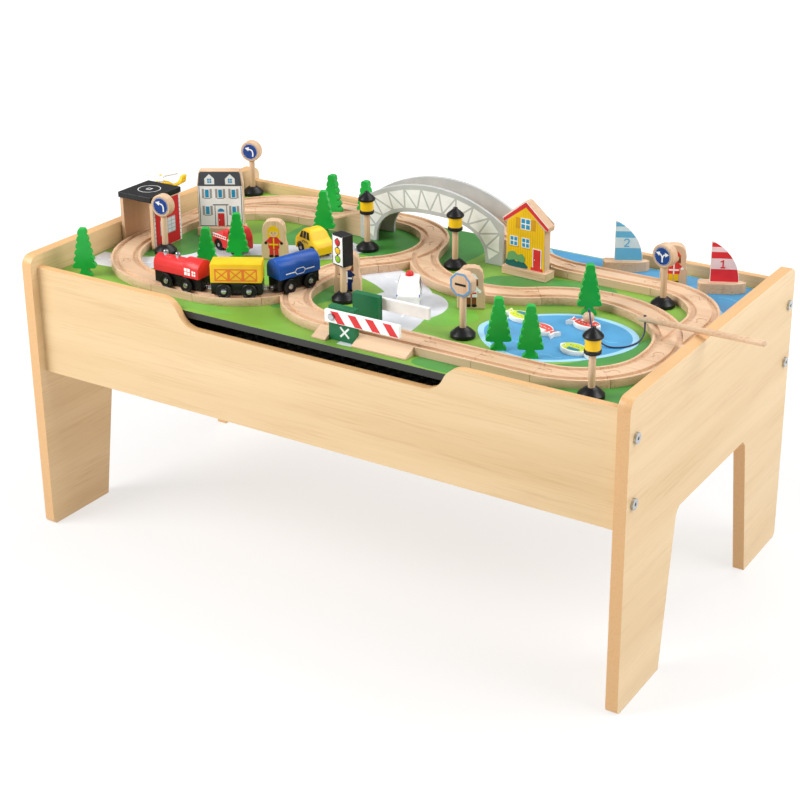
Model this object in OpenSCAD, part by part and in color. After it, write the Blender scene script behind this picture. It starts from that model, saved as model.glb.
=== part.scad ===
// Toy train table: a low wooden table with a lift-off play board, a jointed
// wooden railway, a three-piece train, road toys, scenery and a fishing game.
// Millimetres. X is the length, -Y the front, Z up; origin on the floor under the middle.

/* [Table] */
// Length over the two end panels
table_l = 850; // [830:5:880]
// Depth of the end panels
table_w = 476; // [470:1:490]
// Height of the end panels
table_h = 380; // [370:1:420]
// Thickness of an end panel
end_t = 15; // [14:0.5:16]
// Width of a leg on the floor
leg_w = 107; // [95:1:115]
// How much wider a leg is at the top of its arch
leg_flare = 28; // [15:1:35]
// Height of the arch between two legs
arch_h = 196; // [170:1:205]
// Rounding of the arch's two upper corners
arch_r = 8; // [4:1:14]
// Rounding of an end panel's upper corners
shoulder_r = 14; // [8:1:18]
// Rounding of the outer corners of the feet
foot_r = 7; // [4:1:10]
// Thickness of the long panels
panel_t = 10; // [9:0.5:12]
// How far a long panel stands behind the end panels' edge
panel_recess = 11; // [9:0.5:12]
// How far a long panel's top is below the end panels' top
panel_drop = 16; // [12:1:20]
// Height of a long panel
panel_h = 143; // [135:1:150]
// Width of the hand cut-out at the panel's top edge
cut_w = 424; // [380:2:440]
// Length of each curved side of the cut-out
cut_run = 50; // [46:1:60]
// Depth of the hand cut-out
cut_d = 33; // [28:1:36]
// How far the cut-out sits right of the middle
cut_shift = 6; // [0:1:12]

/* [Board and shelf] */
// How far the play board's top is below the end panels' top
board_drop = 31; // [28:1:34]
// Thickness of the play board
board_t = 9; // [8:0.5:10]
// Play round the board, so that it lifts out
board_gap = 1; // [0.6:0.1:1.5]
// Height and width of the strips that carry the board
ledger_w = 14; // [10:1:16]
// Thickness of the storage shelf
shelf_t = 6; // [5:0.5:7]
// How far the shelf's top is below the end panels' top
shelf_drop = 76; // [74:1:82]
// How deep the shelf sits in the long panels
shelf_in = 4; // [3:0.5:4.5]
// Play of the shelf in its slots
shelf_fit = 0.4; // [0.3:0.1:0.6]
// Thickness of the stored building plate without its studs
plate_t = 5; // [4:0.5:6]
// Play round the stored building plate
plate_gap = 12; // [8:1:20]

/* [Fasteners] */
// Radius of a bolt's shank
bolt_r = 2.5; // [2:0.1:2.8]
// Length of a bolt under its head
bolt_l = 58; // [52:1:62]
// Radius of a bolt's head
bolt_head_r = 6.5; // [5.5:0.1:7]
// Thickness of a bolt's head
bolt_head_t = 3; // [2:0.1:4]
// Radius of the hexagon in a bolt's head
hex_r = 2.3; // [1.8:0.1:2.6]
// Depth of the hexagon
hex_d = 2; // [1:0.1:2.2]
// Play round a bolt
bolt_fit = 0.4; // [0.3:0.1:0.5]
// Radius of a barrel nut
nut_r = 4.5; // [4:0.1:5]
// Length of a barrel nut
nut_l = 8; // [7:0.1:8.5]
// Play round a barrel nut
nut_fit = 0.4; // [0.3:0.1:0.5]
// How far a barrel nut is from its panel's end
nut_in = 36; // [32:1:38]
// How far the upper bolts are below the end panels' top
bolt_high = 47; // [40:1:52]
// How far the lower bolts are below the end panels' top
bolt_low = 124; // [115:1:132]

/* [Track] */
// Width of a track
track_w = 38; // [37:0.5:39]
// Thickness of a track
track_t = 10; // [9.5:0.5:11]
// Distance between the two grooves
gauge = 25; // [24.5:0.1:25.5]
// Width of a groove
groove_w = 7.2; // [7:0.1:7.4]
// Depth of a groove
groove_d = 3; // [2.8:0.1:3.2]
// Seam between two tracks
seam = 0.4; // [0.3:0.1:0.6]
// Gap between the two branches where the left switch ends
fork_gap = 1.5; // [1:0.1:3]
// Radius of a track's round peg
peg_r = 5.5; // [5:0.1:5.8]
// Width of the peg's neck
peg_neck = 5; // [4:0.1:6]
// Distance from a track's end to its peg's middle
peg_l = 11; // [10:0.5:12]
// Play of a peg in its socket
peg_fit = 0.5; // [0.4:0.1:0.7]
// How much a peg stays below its track's top and above its underside
peg_drop = 0.5; // [0.3:0.1:1]
// Radius of the tight curves along their middle
small_r = 96; // [94:1:97]
// Radius of the wide curves along their middle
big_r = 128; // [126:1:129]
// Distance from the board's front edge to the middle of the front run
front_in = 46; // [44:1:48]
// Distance from the board's rear edge to the middle of the rear run
rear_in = 21; // [20.5:0.5:23]
// Distance from the board's left edge to the middle of the left run
left_in = 26; // [25:1:27]
// Distance from the board's right edge to the middle of the right run
right_in = 32; // [31:1:33]
// Distance between the rear run and the run over the bridge
bridge_in = 53; // [52:1:54]
// How far the run between the two loops is left of the middle
middle_off = 94; // [92:1:96]
// How far the loop under the bridge is left of the middle
loop_off = 129; // [127:1:131]
// Angle at which the bow leaves the loop
fork_turn = 10.4; // [10:0.1:11]

/* [Bridge] */
// Length of the bridge
bridge_l = 222; // [218:1:226]
// Middle of the bridge, from the table's middle
bridge_x = -37; // [-39:1:-35]
// Height of the bridge's sides in the middle
bridge_h = 91; // [86:1:96]
// Height of the bridge's sides at the ends
bridge_end_h = 56; // [52:1:60]
// Thickness of a bridge side
bridge_side_t = 4.5; // [4:0.5:5]
// Clear height of the bridge's arch
bridge_arch_h = 52; // [48:1:53]
// Clear width of the bridge's arch
bridge_span = 169; // [164:1:174]
// Height of the roadway in the middle
deck_h = 64; // [62:1:66]
// Height of the roadway at the ends
deck_end_h = 36; // [34:1:38]
// Thickness of the roadway
deck_t = 8; // [7:0.5:9]
// Length of the right ramp
ramp_l = 92; // [88:1:96]

/* [Level crossing] */
// Length of the crossing plate
cross_l = 130; // [126:1:134]
// Width of the crossing plate
cross_w = 74; // [72:1:76]
// Thickness of the plate's outer edge
cross_edge_t = 2; // [1:0.5:3]
// Width of a gate block
block_w = 36; // [32:1:38]
// Thickness of a gate block
block_t = 9; // [8:0.5:10]
// Height of a gate block
block_h = 42; // [40:1:46]
// How far a gate block stands off the track
block_off = 1; // [0.8:0.1:1.5]
// Middle of the gate blocks, from the table's middle
block_x = 40; // [38:1:44]
// How far a gate's pin is left of its block's middle
pin_x = 10; // [8:1:12]
// How far a gate's pin is below its block's top
pin_z = 11; // [10:1:13]
// Radius of a gate's pin
pin_r = 2.5; // [2:0.1:3]
// Radius of the pin's head
pin_head_r = 4; // [3.5:0.1:5]
// Thickness of the pin's head
pin_head_t = 1.5; // [1:0.1:2]
// Length of a gate arm
arm_l = 102; // [96:1:106]
// Height of a gate arm
arm_h = 15; // [13:0.5:16]
// Thickness of a gate arm
arm_t = 5; // [4:0.5:5.5]
// How far a gate arm reaches past its pin at the short end
arm_tail = 10; // [9:0.5:11]
// Side play of a gate arm
arm_play = 0.4; // [0.3:0.1:0.6]

/* [Train] */
// Radius of a train wheel
wheel_r = 9.5; // [9:0.1:9.6]
// Width of a train wheel
wheel_w = 3.2; // [3:0.1:3.4]
// Radius of an axle
axle_r = 1.6; // [1.4:0.1:1.8]
// Play of an axle in its bore
axle_fit = 0.06; // [0.03:0.01:0.1]
// Distance between a car's two axles
wheel_base = 31; // [30:0.5:32]
// Radius of a wheel's metal cap
cap_r = 2.8; // [2.4:0.1:3.2]
// Height of a wheel's metal cap
cap_t = 1.2; // [0.8:0.1:1.6]
// Play between a wheel and the groove's floor
wheel_play = 0.3; // [0.3:0.1:0.5]
// Length of the engine
engine_l = 72; // [70:1:73]
// Length of a wagon
wagon_l = 63; // [60:1:64]
// Width of a car's under frame
frame_w = 19; // [18:0.5:19.5]
// Height of the under frame's lower edge above the groove's floor
frame_low = 5; // [4:0.5:6]
// Height of the under frame's upper edge above the groove's floor
frame_top = 20.5; // [20:0.5:22]
// Width of a car's body
coach_w = 27; // [25:0.5:29]
// Height of the car's body
coach_h = 25; // [23:0.5:27]
// Radius of the engine's boiler
boiler_r = 11.5; // [11:0.5:12]
// Height of the engine's boiler over the under frame
boiler_h = 19; // [17:0.5:20]
// Height of the engine's cab over the under frame
cab_h = 22; // [21:0.5:24]
// Length of the engine's cab
cab_l = 24; // [22:1:28]
// Radius of the engine's two domes
dome_r = 3; // [2.5:0.1:3.5]
// Height of the engine's two domes
dome_h = 5; // [4:0.5:6]
// Radius of a coupling magnet
magnet_r = 3.6; // [3:0.1:4]
// Length of a coupling magnet
magnet_l = 5; // [4:0.1:5.2]
// Middle of the engine, from the table's middle
engine_x = -219; // [-222:1:-218]
// Place of the middle wagon on its curve
boxcar_turn = -60.5; // [-61:0.5:-60]
// Place of the last wagon on its curve
tanker_turn = -16.5; // [-17:0.5:-15]

/* [Road toys] */
// Radius of a road wheel
tyre_r = 7.5; // [7:0.1:8]
// Width of a road wheel
tyre_w = 5; // [4:0.1:5.4]
// Length of a road toy
car_l = 52; // [48:1:55]
// Width of a road toy
car_w = 28; // [26:0.5:30]
// Height of a road toy
car_h = 37; // [34:1:40]
// Distance between a road toy's axles
car_base = 28; // [26:0.5:30]
// Ground clearance of a road toy
car_low = 4; // [3:0.5:5]
// Play between a road wheel and its arch
tyre_play = 1; // [0.8:0.1:1.2]
// Play between a road wheel and the board
road_play = 0.3; // [0.3:0.1:0.5]
// Radius of a road toy's roof light
light_r = 4.5; // [4:0.1:5]
// Height of a road toy's roof light
light_h = 4; // [3:0.1:5]
// Turn of the taxi
taxi_turn = 160; // [150:1:170]
// Turn of the fire truck
truck_turn = -12; // [-20:1:0]
// Turn of the police car
police_turn = -62; // [-70:1:-55]
// Length of the helicopter's body
copter_l = 40; // [36:1:44]
// Width of the helicopter's body
copter_w = 22; // [20:1:24]
// Height of the helicopter's body
copter_h = 30; // [27:1:33]
// Length of the helicopter's tail
tail_l = 30; // [26:1:34]
// Width of the helicopter's tail
tail_w = 6; // [5:0.5:8]
// Radius of the rotor
rotor_r = 25; // [22:1:28]
// Radius of the rotor's hub
hub_r = 6; // [5.5:0.1:7]
// Turn of the rotor at rest
rotor_turn = 40; // [0:1:119]
// Width of a rotor blade
blade_w = 7; // [6:0.5:7.5]
// Thickness of the rotor
blade_t = 2.5; // [2:0.1:3]
// Middle of the helicopter along the left end panel
copter_y = 27; // [25:1:32]

/* [Buildings] */
// Clear width of the garage
garage_in = 45; // [43:1:46]
// How far the garage stands right of its track's middle
garage_off = 3; // [2:0.5:4]
// Thickness of a garage wall
garage_wall_t = 6; // [5:0.5:7]
// Length of the garage
garage_l = 56; // [50:1:58]
// Height of a garage wall
garage_h = 66; // [60:1:70]
// Thickness of the garage roof
garage_roof_t = 8; // [6:0.5:9]
// Overhang of the garage roof at its open ends
garage_eave = 3; // [2:0.5:4]
// Middle of the garage along the left run
garage_y = -40; // [-42:1:-38]
// Width of a house
house_w = 62; // [58:1:64]
// Thickness of a house
house_t = 14; // [12:0.5:15]
// Height of a house over its base
house_h = 80; // [76:1:84]
// Thickness of a house's base
house_base_t = 11; // [9:0.5:12]
// Depth of a house's base
house_base_w = 22; // [20:0.5:23]
// How much a house's base is wider than the house
house_base_over = 4; // [3:0.5:5]
// Turn of the white house
white_turn = 31; // [28:1:33]
// Turn of the yellow house
yellow_turn = -3; // [-4:1:0]

/* [Posts and scenery] */
// Radius of a wooden post
post_r = 4; // [3.5:0.1:4.2]
// Height of a lamp's or sign's post over the board
post_h = 66; // [62:1:70]
// Play of a post in its base and head
post_fit = 0.05; // [0.03:0.01:0.08]
// Radius of a post's base
foot_base_r = 15; // [14:0.5:15.5]
// Height of a post's base
foot_base_h = 12; // [10:0.5:13]
// Height of the base's straight rim
foot_rim_h = 5; // [4:0.5:6]
// Floor under the post in its base
foot_floor = 2; // [1.5:0.1:3]
// Radius of a sign's head
sign_r = 15; // [14:0.5:16]
// Thickness of a sign's head
sign_t = 12; // [10:0.5:13]
// How deep a post goes into a head
head_in = 6; // [5:0.5:8]
// Height of the traffic light's head over the board
signal_z = 47; // [44:1:50]
// Height of the traffic light's head
signal_h = 40; // [36:1:42]
// Width of the traffic light's head
signal_w = 22; // [20:1:24]
// Thickness of the traffic light's head
signal_t = 16; // [14:0.5:18]
// Radius of a lamp's barrel
lamp_r = 9; // [8:0.1:9.5]
// Radius of a lamp's cap
lamp_cap_r = 11.5; // [10:0.1:12]
// Radius of a lamp's lower ring
lamp_ring_r = 9.6; // [9:0.1:10]
// Height of a lamp's lower ring
lamp_ring_h = 5; // [4:0.1:6]
// Height of a lamp's barrel
lamp_barrel_h = 13; // [12:0.5:15]
// Height of a lamp's cap
lamp_cap_h = 13; // [11:0.5:14]
// Height of a tree
tree_h = 64; // [58:1:68]
// Width of a tree
tree_w = 30; // [26:1:34]
// Thickness of a tree
tree_t = 9; // [8:0.5:10]
// Height of a figure
figure_h = 54; // [50:1:58]
// Width of a figure
figure_w = 34; // [30:1:36]
// Thickness of a figure
figure_t = 13; // [11:0.5:14]
// Length of a boat
hull_l = 60; // [56:1:62]
// Width of a boat
hull_w = 18; // [15:0.5:20]
// Height of a boat
hull_h = 14; // [12:0.5:16]
// Height of a sail over its boat
sail_h = 54; // [50:1:58]
// Length of a sail at its foot
sail_l = 36; // [32:1:40]
// Thickness of a sail
sail_t = 3; // [2.5:0.1:3.5]
// Depth of a sail's slot
sail_in = 5; // [4:0.5:6]
// Play of a sail in its slot
sail_fit = 0.1; // [0.05:0.01:0.2]
// Length of a fish without its tail
fish_l = 38; // [34:1:40]
// Width of a fish
fish_w = 24; // [20:1:26]
// Thickness of a fish
fish_t = 6; // [5:0.5:7]

/* [Fishing rod] */
// Length of the rod
rod_l = 222; // [210:1:230]
// Radius of the rod
rod_r = 3.5; // [3:0.1:4]
// Place of the rod's tip
rod_tip = [316, 16]; // [14:1:320]
// Turn of the rod
rod_turn = -28; // [-30:1:-26]
// Tilt of the rod
rod_tilt = 11.8; // [11.6:0.1:12.2]
// Play between the rod's tip and the track
rod_play = 0.3; // [0.3:0.1:0.5]
// Radius of the line
line_r = 1; // [0.8:0.1:1.2]
// Radius of the magnet bead
bead_r = 7; // [6.5:0.1:7.5]
// Height of the bead's flat foot below its middle
bead_low = 6; // [5:0.1:6.4]

/* [Hidden] */
$fn = 64;
// Overrun of every cut
over = 1;

// Levels
board_z = table_h - board_drop;
track_z = board_z + track_t;
rail_z = track_z - groove_d;
shelf_z = table_h - shelf_drop;
panel_z = table_h - panel_drop - panel_h;

// Inside of the table
inner_l = table_l - 2 * end_t;
panel_y = table_w / 2 - panel_recess - panel_t / 2;
inner_w = 2 * panel_y - panel_t;
board_l = inner_l - 2 * board_gap;
board_w = inner_w - 2 * board_gap;
bolt_drops = [bolt_high, bolt_low];

// Arcs of the hand cut-out, two equal radii that meet at half depth
cut_r = (cut_run * cut_run + cut_d * cut_d) / (4 * cut_d);
cut_top_x = cut_w / 2;
cut_low_x = cut_w / 2 - cut_run;

// Middles of the runs
front_y = -board_w / 2 + front_in;
rear_y = board_w / 2 - rear_in;
bridge_y = rear_y - bridge_in;
left_x = -board_l / 2 + left_in;
right_x = board_l / 2 - right_in;
middle_x = -middle_off;
loop_x = -loop_off;

// Middles of the curves, each one tangent to its neighbours
left_c = [left_x + big_r, front_y + big_r];
ramp_c = [left_x + big_r, bridge_y - big_r];
rear_c = [left_x + big_r, rear_y - big_r];
train_c = [middle_x - small_r, front_y + small_r];
gate_c = [middle_x + small_r, front_y + small_r];
loop_c = [loop_x, rear_y - small_r];
bow_c = loop_c + (small_r + big_r) * [cos(fork_turn), sin(fork_turn)];
bow_turn = acos((right_x - big_r - bow_c.x) / (2 * big_r));
pond_c = bow_c + 2 * big_r * [cos(bow_turn), -sin(bow_turn)];
corner_c = [right_x - small_r, front_y + small_r];
outer_c = [right_x - small_r, bridge_y - small_r];
link_x = middle_x + small_r;
link_y = loop_c.y - sqrt(4 * small_r * small_r - pow(link_x - loop_x, 2));
link_c = [link_x, link_y];
link_turn = atan2(loop_c.y - link_y, loop_x - link_x);

// How far the switches reach along their curves, where the loop's two curves meet
fork_out = big_r + track_w / 2;
fork_in = big_r - track_w / 2 - fork_gap;
fork_rise = fork_out * fork_out + bridge_in * bridge_in - fork_in * fork_in;
fork_reach = asin(fork_rise / (2 * fork_out * bridge_in));
pond_reach = acos(fork_in / fork_out);
half_turn = 45;
bow_reach = 45;
loop_half = 50;
switch_steps = 14;

// Bridge
bridge_l0 = bridge_x - bridge_l / 2;
bridge_r0 = bridge_x + bridge_l / 2;
bridge_rise = bridge_h - bridge_end_h;
bridge_rim_r = (bridge_l * bridge_l / 4 + bridge_rise * bridge_rise) / (2 * bridge_rise);
deck_rise = deck_h - deck_end_h;
deck_r = (bridge_l * bridge_l / 4 + deck_rise * deck_rise) / (2 * deck_rise);
arch_power = 0.77;

// Level crossing
cross_l0 = gate_c.x + seam / 2;
pin_at_x = block_x - pin_x;
pin_at_z = board_z + block_h - pin_z;
block_in = track_w / 2 + block_off;
block_out = block_in + block_t;
arm_in = block_out + arm_play;

// Train
axle_z = rail_z + wheel_play + wheel_r;
axle_l = gauge + wheel_w;
car_axle_z = board_z + road_play + tyre_r;
tyre_in = car_w / 2 - cap_t - tyre_w - tyre_play;
engine_at = [engine_x, front_y];
wagon_r = sqrt(small_r * small_r - wheel_base * wheel_base / 4);
boxcar_at = train_c + wagon_r * [cos(boxcar_turn), sin(boxcar_turn)];
tanker_at = train_c + wagon_r * [cos(tanker_turn), sin(tanker_turn)];
frame_z = rail_z + frame_low;
coach_z = rail_z + frame_top;
dome_shares = [0.36, 0.76];
garage_x = left_x + garage_off;

// Side views of the road toys and the helicopter, as shares of length and height
taxi_shares = [[0, 0.05], [0, 0.36], [0.05, 0.5], [0.2, 0.62], [0.32, 0.9], [0.42, 0.99],
    [0.55, 1], [0.68, 0.95], [0.83, 0.72], [0.95, 0.55], [1, 0.38], [1, 0.05]];
truck_shares = [[0, 0.05], [0, 0.55], [0.42, 0.6], [0.42, 0.78], [0.6, 0.78], [0.62, 0.95],
    [0.92, 0.95], [1, 0.55], [1, 0.05]];
police_shares = [[0, 0.05], [0, 0.5], [0.1, 0.58], [0.24, 0.92], [0.3, 0.97], [0.62, 0.97],
    [0.7, 0.9], [0.84, 0.56], [1, 0.48], [1, 0.05]];
copter_shares = [[0.08, 0], [0, 0.25], [0.02, 0.55], [0.12, 0.8], [0.28, 0.97], [0.5, 1],
    [0.75, 0.95], [0.94, 0.75], [1, 0.5], [0.95, 0.15], [0.85, 0]];
front_shares = [[-0.5, -0.1], [0.5, -0.1], [0.5, 0.62], [0.46, 0.84], [0.38, 0.97], [0.3, 1.02],
    [-0.3, 1.02], [-0.38, 0.97], [-0.46, 0.84], [-0.5, 0.62]];
truck_light_share = 0.77;
truck_roof_share = 0.95;
police_light_share = 0.46;
police_roof_share = 0.97;
copter_fin_share = 0.9;
copter_boom_shares = [0.45, 0.65];
copter_root_share = 0.1;
mast_share = 0.2;

// Outlines of the scenery, as shares of width and height
white_shares = [[-0.5, 0], [0.5, 0], [0.5, 0.76], [0.46, 0.97], [0.43, 1], [-0.43, 1],
    [-0.46, 0.97], [-0.5, 0.76]];
yellow_shares = [[-0.46, 0], [0.46, 0], [0.46, 0.7], [0.54, 0.68], [0.56, 0.76], [0.02, 1.12],
    [-0.04, 1.12], [-0.56, 0.8], [-0.54, 0.72], [-0.46, 0.74]];
figure_shares = [[0.5, 0], [0.5, 0.34], [0.44, 0.46], [0.43, 0.6], [0.45, 0.72], [0.4, 0.88],
    [0.28, 0.97], [0.12, 1]];
hull_shares = [[-0.5, -0.3], [-0.46, -0.5], [0.2, -0.5], [0.42, -0.26], [0.5, 0], [0.42, 0.26],
    [0.2, 0.5], [-0.46, 0.5], [-0.5, 0.3]];
tree_tiers = 6;
tree_neck_share = 0.17;
tree_tip_share = 0.26;
tree_top_share = 0.16;
tree_foot_shares = [[0.62, 0], [0.6, 0.05], [0.4, 0.09], [0.3, 0.13], [0.3, 0.17]];
tier_shares = [[0.8, 0.03], [0.95, 0.1], [1, 0.25], [0.98, 0.5], [0.88, 0.75], [0.72, 0.94]];
tail_shares = [[-0.32, 0], [-0.66, 0.36], [-0.58, 0], [-0.66, -0.36]];
lamp_cap_shares = [[1, 0], [1, 0.22], [0.3, 0.9], [0, 1]];
foot_dome_shares = [[0.94, 0.3], [0.78, 0.65], [0.55, 0.9], [0.4, 1]];
sail_share = -0.26;

// A sail's round edge, an arc through its foot and its tip
sail_r = (sail_l * sail_l + sail_h * sail_h) / (2 * sail_l);

// Places of the scenery and road toys: the curve whose middle each one follows, and how far it stands
// off that middle as shares of the wide curve's radius, then its turn
spots = [left_c, ramp_c, rear_c, gate_c, loop_c, bow_c, pond_c, corner_c, outer_c];
at_left = 0;
at_ramp = 1;
at_rear = 2;
at_gate = 3;
at_loop = 4;
at_bow = 5;
at_pond = 6;
at_corner = 7;
at_outer = 8;
tree_place_shares = [[at_left, -0.858, -1.14], [at_left, 0.171, -0.492], [at_left, 0.148, 0.031],
    [at_rear, 0.465, 0.261], [at_rear, 0.212, 0.793], [at_rear, 0.65, 0.793], [at_pond, -0.341, -0.486],
    [at_pond, -0.009, -0.501], [at_pond, -0.038, 0.706]];
tree_turns = [30, 30, 35, 25, 0, 0, 30, 30, 30];
figure_place_shares = [[at_left, 0.446, 0.266], [at_gate, -0.367, 0.094], [at_bow, 0.162, -1.3],
    [at_outer, 0.054, 1.016]];
figure_turns = [25, 25, 30, 25];
sign_place_shares = [[at_left, -0.625, -0.188], [at_rear, -1.079, 1.039], [at_outer, 0.22, 0.407],
    [at_pond, -0.766, -0.39]];
sign_turns = [45, 45, 40, 25];
octagon_sign = 3;
signal_place_share = [at_gate, -0.274, -0.117];
signal_turn = -45;
lamp_place_shares = [[at_loop, 0.126, -0.125], [at_bow, -0.541, -0.424], [at_corner, 0.578, -0.883]];
boat_place_shares = [[at_outer, -0.508, 1.126], [at_outer, 0.553, 1.048]];
boat_turns = [28, 26];
fish_place_shares = [[at_pond, -0.517, 0.252], [at_pond, -0.21, 0.081], [at_pond, 0.259, -0.185],
    [at_pond, 0.1, 0.392]];
fish_turns = [-18, 160, 170, -8];
taxi_place_share = [at_ramp, 0.719, 0.148];
truck_place_share = [at_ramp, -0.07, -0.211];
police_place_share = [at_gate, 0.312, 0.141];
white_place_share = [at_ramp, -0.508, 0.172];
yellow_place_share = [at_bow, 0.201, -0.253];

// Route of the fishing line, from the rod's underside to the bead
line_route = [[325.5, 11, 362], [327, 8, 358], [330, 1, 354.5], [333, -10, 352], [334, -22, 350.6],
    [332, -34, 350.3], [328, -44, 350.3], [321, -51, 350.3], [312, -55, 350.6], [303, -54, 352],
    [294, -50, 354.6], [286, -43, 358], [279, -35, 361.8], [273.4, -27.2, 366], [268.6, -19.5, 370],
    [265.2, -14, 372.2], [262.8, -10.3, 371.4], [262, -9, 367]];
line_steps = 3;
bead_at = line_route[len(line_route) - 1];
line_sides = 8;

// Table

module end_outline() {
    half = table_w / 2;
    low_in = half - leg_w;
    high_in = low_in - leg_flare;
    difference() {
        union() {
            translate([-half, foot_r])
                square([table_w, table_h - foot_r - shoulder_r]);
            translate([-half + foot_r, 0])
                square([table_w - 2 * foot_r, table_h / 2]);
            translate([-half + shoulder_r, table_h / 2])
                square([table_w - 2 * shoulder_r, table_h / 2]);
            for (side = [-1, 1]) {
                translate([side * (half - shoulder_r), table_h - shoulder_r])
                    circle(shoulder_r);
                translate([side * (half - foot_r), foot_r])
                    circle(foot_r);
            }
        }
        polygon([[-low_in, -over], [-low_in, 0], [-high_in, arch_h - arch_r], [-high_in + arch_r, arch_h],
            [high_in - arch_r, arch_h], [high_in, arch_h - arch_r], [low_in, 0], [low_in, -over]]);
    }
}

module bolt_places() {
    for (side = [-1, 1])
        for (drop = bolt_drops)
            translate([0, side * panel_y, table_h - drop])
                children();
}

module end_panel(side) {
    color("BurlyWood")
    difference() {
        translate([side * (table_l - end_t) / 2 - end_t / 2, 0, 0])
            rotate([90, 0, 90])
                linear_extrude(end_t)
                    end_outline();
        translate([side * (inner_l / 2 + end_t / 2), 0, 0])
            bolt_places()
                rotate([0, 90, 0])
                    cylinder(h = end_t + 2 * over, r = bolt_r + bolt_fit, center = true);
    }
}

module left_end_panel() {
    end_panel(-1);
}

module right_end_panel() {
    end_panel(1);
}

module cut_outline() {
    mid = panel_h - cut_d / 2;
    low = panel_h - cut_d;
    difference() {
        translate([-cut_top_x, mid])
            square([2 * cut_top_x, cut_d / 2 + over]);
        for (side = [-1, 1])
            translate([side * cut_top_x, panel_h - cut_r])
                circle(cut_r);
    }
    intersection() {
        translate([-cut_top_x, low])
            square([2 * cut_top_x, cut_d / 2]);
        union() {
            translate([-cut_low_x, low])
                square([2 * cut_low_x, cut_d]);
            for (side = [-1, 1])
                translate([side * cut_low_x, low + cut_r])
                    circle(cut_r);
        }
    }
}

module long_panel(side) {
    color("BurlyWood")
    translate([0, side * panel_y, panel_z])
        difference() {
            translate([-inner_l / 2, panel_t / 2, 0])
                rotate([90, 0, 0])
                    linear_extrude(panel_t)
                        difference() {
                            square([inner_l, panel_h]);
                            translate([inner_l / 2 + cut_shift, 0])
                                cut_outline();
                        }
            translate([-inner_l / 2 - over, -side * (panel_t / 2 - shelf_in) - (1 + side) / 2 * panel_t,
                shelf_z - shelf_t - panel_z - shelf_fit / 2])
                cube([inner_l + 2 * over, panel_t, shelf_t + shelf_fit]);
            for (end = [-1, 1])
                for (drop = bolt_drops)
                    translate([end * inner_l / 2, 0, table_h - drop - panel_z]) {
                        rotate([0, -90 * end, 0])
                            cylinder(h = bolt_l - end_t + over, r = bolt_r + bolt_fit);
                        translate([-end * nut_in, -side * (panel_t / 2 - nut_l / 2 + over), 0])
                            rotate([90, 0, 0])
                                cylinder(h = nut_l + 2 * over, r = nut_r + nut_fit, center = true);
                    }
        }
}

module front_panel() {
    long_panel(-1);
}

module back_panel() {
    long_panel(1);
}

module shelf() {
    color("Tan")
    translate([0, 0, shelf_z - shelf_t / 2])
        cube([inner_l - shelf_fit, inner_w + 2 * (shelf_in - shelf_fit), shelf_t], center = true);
}

module board_ledgers() {
    color("Peru")
    for (side = [-1, 1])
        translate([side * (inner_l - ledger_w) / 2, 0, board_z - board_t - ledger_w / 2])
            cube([ledger_w, inner_w - 2 * board_gap, ledger_w], center = true);
}

module play_board() {
    color("YellowGreen")
    translate([0, 0, board_z - board_t / 2])
        cube([board_l, board_w, board_t], center = true);
}

module building_plate() {
    color("DimGray")
    translate([0, 0, shelf_z + plate_t / 2])
        cube([inner_l - 2 * plate_gap, inner_w - 2 * plate_gap, plate_t], center = true);
}

module panel_bolts() {
    color("Silver")
    for (side = [-1, 1])
        translate([side * table_l / 2, 0, 0])
            bolt_places()
                rotate([0, 90 * side, 0])
                    difference() {
                        union() {
                            cylinder(h = bolt_head_t, r = bolt_head_r);
                            translate([0, 0, -bolt_l])
                                cylinder(h = bolt_l, r = bolt_r);
                        }
                        translate([0, 0, bolt_head_t - hex_d])
                            cylinder(h = hex_d + over, r = hex_r, $fn = 6);
                    }
}

module barrel_nuts() {
    color("Gray")
    for (end = [-1, 1])
        for (side = [-1, 1])
            for (drop = bolt_drops)
                translate([end * (inner_l / 2 - nut_in), side * panel_y, table_h - drop])
                    difference() {
                        translate([0, -side * (panel_t - nut_l) / 2, 0])
                            rotate([90, 0, 0])
                                cylinder(h = nut_l, r = nut_r, center = true);
                        rotate([0, 90, 0])
                            cylinder(h = 2 * nut_r + 2 * over, r = bolt_r + bolt_fit, center = true);
                    }
}

// Track

function arc_turn(length, radius) = length / radius * 180 / PI;

module peg() {
    peg_t = track_t - 2 * peg_drop;
    translate([-peg_neck / 2, -over, peg_drop])
        cube([peg_neck, peg_l + over, peg_t]);
    translate([0, peg_l, peg_drop])
        cylinder(h = peg_t, r = peg_r);
}

module joint_socket() {
    translate([-peg_neck / 2 - peg_fit, -over, -over])
        cube([peg_neck + 2 * peg_fit, peg_l + over, track_t + 2 * over]);
    translate([0, peg_l, -over])
        cylinder(h = track_t + 2 * over, r = peg_r + peg_fit);
}

// A run along Y from 0, and a run round the origin; both as full body or as grooves.
// Each end leaves half a seam, and the grooves run out of it.
module run_body(length) {
    translate([-track_w / 2, seam / 2, 0])
        cube([track_w, length - seam, track_t]);
}

module run_grooves(length) {
    for (side = [-1, 1])
        translate([side * gauge / 2 - groove_w / 2, -over, track_t - groove_d])
            cube([groove_w, length + 2 * over, groove_d + over]);
}

module bend_body(radius, from, to) {
    trim = arc_turn(seam / 2, radius);
    rotate(from + trim)
        rotate_extrude(angle = to - from - 2 * trim)
            translate([radius - track_w / 2, 0])
                square([track_w, track_t]);
}

module bend_grooves(radius, from, to) {
    past = arc_turn(over, radius);
    rotate(from - past)
        rotate_extrude(angle = to - from + 2 * past)
            for (side = [-1, 1])
                translate([radius + side * gauge / 2 - groove_w / 2, track_t - groove_d])
                    square([groove_w, groove_d + over]);
}

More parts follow.
